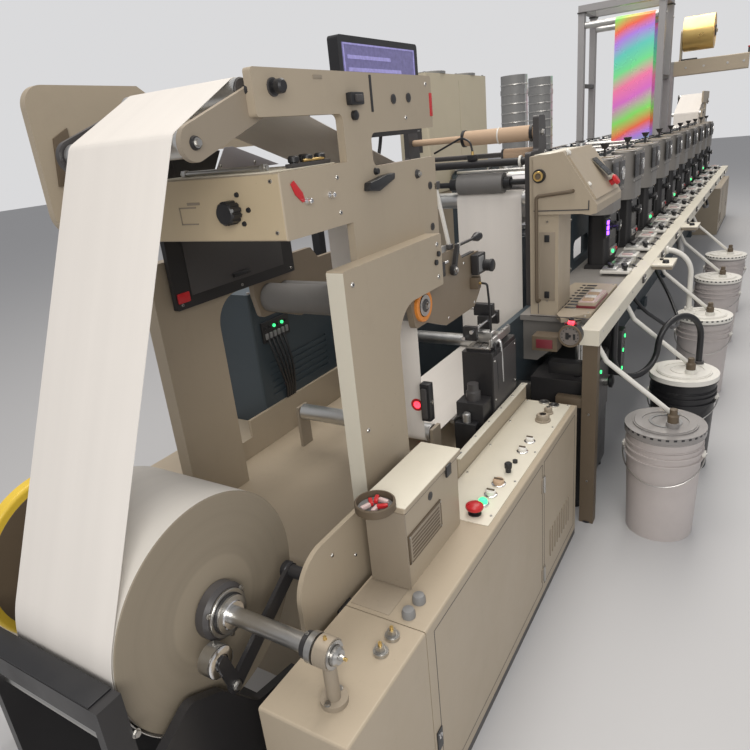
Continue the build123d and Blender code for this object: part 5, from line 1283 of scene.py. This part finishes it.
# A row of small clips under the rail; every third one glows green, a painted glint of green light
for i in range(28):
    x = 2500 + i * 24
    s.use(GREEN_GLOW if i % 3 == 0 else PLASTIC).bar(x, -30, (790, 783), 5, 10)
for x in (2860, 4060):
    s.use(IVORY).box(x, x + 190, -158, -55, 838, 847, 2)
    s.use(SHADED_CREAM).box(x + 6, x + 184, -156, -60, 822, 838, 2)
    s.use(PLASTIC).bar(x + 60, -118, (847, 862), 17, 20, 14)
    s.bar(x + 132, -88, (847, 855), 10, 18)
s.done("rail_fittings", "white_cream")
h = Shape().use(PLASTIC)
loop = [(0, 790), (0, 700)]
loop += [(118 - 118 * math.cos(t), 600 - 118 * math.sin(t)) for t in arc]
loop += [(355.5 - 119.5 * math.cos(t), 600 + 119.5 * math.sin(t)) for t in arc[1:]]
loop += [(475, 540), (475, 466)]
h.pipe([(2120 + 0.758 * s, -30 - 0.653 * s, z) for s, z in loop], 14, 14, 2)
h.pipe(
    [(2500, -20, 788), (2530, -80, 700), (2700, -190, 560), (2900, -210, 530), (3100, -120, 640), (3160, -20, 788)], 9
)
h.use(WHITE)
drop = [(3410, -50, 820)]
drop += [(3410, -57 - 140 * math.sin(t / 2), 680 + 140 * math.cos(t / 2)) for t in arc]
h.pipe(drop + [(3410, -197, 600), (3410, -200, 466)], 15, 14, 2)
h.ring((3410, -57, 820), NEAR, 24, 15.2, 0, 12).ring((3410, -199, LID_TOP), UP, 24, 15.2, 0, 14)
h.use(COAL).ring((2480, -340, LID_TOP), UP, 23, 14.2, 0, 16).ring((2120, -30, 790), (0, 0, -1), 23, 14.2, 0, 14)
h.use(GREY)
h.pipe([(3700, -20, 786), (3760, -60, 740), (3900, -90, 700), (4050, -60, 740), (4110, -20, 786)], 20, 16)
h.use(PLASTIC).pipe([(4600, -22, 788), (4660, -60, 720), (4800, -80, 700), (4920, -60, 730), (4980, -20, 788)], 12)
h.pipe([(5800, -22, 788), (5860, -50, 730), (6000, -66, 716), (6120, -50, 735), (6180, -20, 788)], 12)
h.done("rail_hoses", "grey_plastic")

# Foot of the first leg
f = Shape().use(PLASTIC).bar(1722, -23, (0.5, 8), 26, 22)
for z in (200, 500):
    f.use(STEEL).screw((1700, -23, z), FRONT, 5)
f.use(BROWN).box(1706, 1744, 5, 110, 520, 560, 3)
f.use(PLASTIC).box(1744, 1800, -10, 150, 640, 690, 4)
f.use(GREEN_GLOW).box(1746, 1754, -14, -9, 650, 664, 1)
f.done("leg_foot", "black_plastic")

# Pump unit under the deck
f = Shape().use(BLACK).box(1790, 2250, 20, 240, 40, 600, 8)
f.use(COAL).box(1800, 2240, 14, 22, 330, 590, 3)
for i in range(7):
    f.use(PLASTIC).box(1830, 2010, 10, 16, 352 + i * 20, 362 + i * 20, 1.5)
f.use(STEEL).bar(2150, (16, -6), 470, 26, 24)
f.use(PLASTIC).lathe((2150, -6, 470), NEAR, [(20, 0), (30, 6), (30, 18), (12, 24), (0.1, 24)])
for x in (1820, 2220):
    for y in (50, 210):
        f.use(PLASTIC).bar(x, y, (0.5, 42), 20, 20, 16)
    f.use(STEEL).box(x - 14, x + 14, 236, 312, 480, 560, 3)
f.use(GREEN_GLOW)
for x, z in ((1792, 560), (1792, 510), (1860, 560), (2060, 540)):
    f.bar(x + 10, (14, 9), z, 8, 14)
for x in (1850, 1900, 2180):
    f.use(STEEL).bar(x, 60, (598, 834), 10, 18)
    f.use(PLASTIC).ring((x, 60, 600), UP, 18, 10.2, 0, 16)
f.box(2296, 2380, -30, 60, 440, 660, 6)
f.use(GREEN_GLOW)
for x, z in ((2359, 621), (2318, 474), (2330, 560)):
    f.bar(x, (-30, -33), z, 9, 14)
f.use(STEEL).box(2310, 2366, 60, 312, 600, 640, 3)
f.done("pump_unit", "black_metal")

for number, centre in enumerate(CENTRES):
    station_deck_details(centre, number)
    station_housing_details(centre, number)
    station_frame_details(centre, number)
    gear_cover_details(centre, number)

# Violet lamp window on the first station
s = Shape().use(BLACK).box(2756, 2826, 150, 160, 1004, 1104, 2)
s.use(UV_GLOW)
for z in (1018, 1044, 1070):
    s.box(2768, 2786, 147, 151, z, z + 18, 1).box(2792, 2812, 147, 151, z - 4, z + 16, 1)
s.done("uv_glow_window", "black_metal")

# Feet, bolts and cross plates of the film portal
s = Shape()
for cx in (5380.8, 5780.8):
    for y0, y1 in ((296, 346), (gear(346), gear(296))):
        for z in (1385, 2380):
            s.use(COAL).box(cx - 42, cx + 42, y0 - 6, y1 + 6, z, z + 10, 2)
        for dx in (-34, 34):
            s.use(STEEL).bolt((cx + dx, (y0 + y1) / 2, 1395), UP, 6, 5)
        for z in (1700, 2050):
            s.use(STEEL).screw((cx, y0 if y0 < MIDDLE else y1, z), (0, -1 if y0 < MIDDLE else 1, 0), 5)
s.use(COAL).box(5400, 5760, 300, 342, 1820, 1850, 2)
s.box(5400, 5760, gear(342), gear(300), 1820, 1850, 2)
for z, cx in product((1355, 2290), (5380.8, 5780.8)):
    s.use(STEEL).bolt((cx, 296 if z > 1400 else 306, z), NEAR, 8, 6)
s.done("portal_fittings", "black_metal")

# Core, layers and bolts of the foil roll and its arm
s = Shape()
s.use(BLACK).ring((6030, -2, 2164), AWAY, 44, 20, -10, 0, 2)
s.use(STEEL).bolt((6030, -12, 2164), NEAR, 14, 8)
s.use(KRAFT).ring((6030, -2, 2164), AWAY, 50, 44, -3, 0, 0.6)
s.use(BRASS)
for i in range(4):
    r = 64 + 18 * i
    s.ring((6030, -2, 2164), AWAY, r, r - 1.2, -0.8, 0, 0.2, 48)
for y in (-240, -120, 60, 200):
    s.use(STEEL).bolt((5990, y, 1900), FRONT, 7, 5)
s.use(PLASTIC).box(6010, 6050, -276, -262, 1960, 2000, 3)
s.use(RED).lathe((6030, -268, 2000), UP, [(10, 0), (10, 10), (0.1, 12)])
s.use(COAL).box(5996, 6064, 120, 260, 1960, 1972, 2)
s.done("foil_fittings", "black_metal")

for number, place in enumerate(PAILS):
    pail_details(place, number)

# Door seams, handles, hinges, louvres, lamps and bolts on the dryer cabinets
s = Shape()
face = 1130
for x0, x1 in ((2452, 2836), (2844, 3228)):
    s.use(COAL)
    for z in (1306, 1852):
        s.box(x0, x1, face, face + 0.8, z, z + 2)
    for x in (x0, x1 - 2):
        s.box(x, x + 2, face, face + 0.8, 1306, 1852)
    for z in (1380, 1780):
        s.use(STEEL).bar(x0 + 6, face + 6, (z - 30, z + 30), 6, 12)
    s.use(PLASTIC).box(x1 - 48, x1 - 24, face, face + 16, 1540, 1640, 4)
    for i in range(10):
        s.use(SHADED_CREAM).box(x0 + 80, x0 + 300, face, face + 5, 1380 + i * 18, 1388 + i * 18, 1.5)
    s.use(GREEN_GLOW).lathe((x0 + 120, face, 1760), AWAY, [(9, 0), (9, 5), (0.1, 7)], 18)
    s.use(RED).lathe((x0 + 160, face, 1760), AWAY, [(9, 0), (9, 5), (0.1, 7)], 18)
s.use(GREY)
for x in (2640, 3040):
    s.ring((x, 1045, 1870), UP, 92, 80, 0, 14, 2)
for x, y in product((2460, 2840, 3220), (975, 1115)):
    s.use(STEEL).bolt((x, y, 1870), UP, 7, 5)
s.use(COAL).box(2439.2, 2440.4, 1000, 1090, 1500, 1800, 0.3)
s.done("dryer_cabinet_fittings", "cream")
d = Shape()
for x in (3980, 4580):
    for z in range(1360, 1900, 60):
        d.use(STEEL).ring((x, 1045, z), UP, 93, 88, -4, 4, 1.5)
    d.use(BLACK).ring((x, 1045, 1290), UP, 112, 90.5, 0, 12, 2)
    for i in range(6):
        angle = math.radians(60 * i)
        d.use(STEEL).bolt((x + 101 * math.cos(angle), 1045 + 101 * math.sin(angle), 1302), UP, 5, 4)
d.done("duct_rings", "aluminium")

# Terminal block, lamps, door seam, hinges and cable loop on the drive cabinet
s = Shape()
face = 1062
s.use(BLACK).box(1100, 1260, 1052, 1062, 900, 980, 2)
for i in range(6):
    s.use(GREEN_GLOW if i in (2, 4) else PLASTIC).bar(1118 + i * 24, (1052, 1047), 956, 6, 14)
    s.use(GREY).box(1110 + i * 24, 1124 + i * 24, 1046, 1053, 912, 936, 1.5)
for i in range(5):
    s.use(PLASTIC).pipe([
        (1120 + i * 22, 1046, 914), (1120 + i * 22, 1036, 880), (1130 + i * 20, 1020, 800),
        (1180 + i * 12, 1040, 700), (1190 + i * 12, 1058, 640),
    ], 5)
back = 1242
s.use(COAL).seam(1074, 1546, back, back + 0.8, 592, 1086)
for z in (680, 1000):
    s.use(STEEL).bar(1078, back + 6, (z - 30, z + 30), 6, 12)
s.use(PLASTIC).box(1496, 1520, back, back + 16, 800, 880, 4)
s.use(YELLOW).slab([(1300, 960), (1348, 1044), (1396, 960)], "y", back, back + 0.8)
for i in range(6):
    s.use(COAL).box(1180, 1420, back, back + 3, 660 + i * 18, 668 + i * 18, 1)
for x, y in product((1080, 1540), (1076, 1228)):
    s.use(STEEL).bolt((x, y, 1100), UP, 7, 5)
s.done("drive_cabinet_fittings", "dark_blue")

# Bolts along the long bed, and its cable tray
s = Shape()
for y, out in both(290):
    for x in range(1700, 8640, 290):
        s.use(STEEL).bolt((x, y, 800), (0, out, 0), 7, 5)
        s.bolt((x, y, 300), (0, out, 0), 7, 5)
s.done("bed_bolts", "steel")
t = Shape().use(STONE).box(1800, 8500, 975, 1040, 560, 568, 1)
t.box(1800, 8500, 975, 978, 568, 610, 0.8)
t.box(1800, 8500, 1037, 1040, 568, 610, 0.8)
for x in range(1900, 8500, 550):
    t.use(COAL).box(x, x + 30, 968, 1040, 552, 561, 1)
for i, (y, r) in enumerate(((988, 8), (1004, 10), (1024, 7))):
    t.use((PLASTIC, GREY, BROWN)[i])
    t.pipe([(1810, y, 578 + r), (3600, y + 4, 577 + r), (6000, y - 3, 577 + r), (8490, y, 578 + r)], r)
t.done("cable_tray", "grey_plastic")

# Rings and bolts at the ends of the rewind roll
s = Shape()
x = far(ROLL_X)
for y, out in both(338):
    s.use(STEEL).ring((x, y, ROLL_Z), AWAY, 52, 22, *span(6 * out))
    s.use(BLACK).ring((x, y + out * 6, ROLL_Z), AWAY, 44, 22, *span(4 * out))
    for i in range(3):
        angle = math.radians(120 * i + 30)
        s.use(STEEL).bolt((x + 56 * math.cos(angle), y, ROLL_Z + 56 * math.sin(angle)), (0, out, 0), 4.5, 4)
    s.use(STEEL).bolt((x, 50 if out < 0 else gear(50), ROLL_Z), (0, out, 0), 9, 6)
s.done("rewind_fittings", "steel")
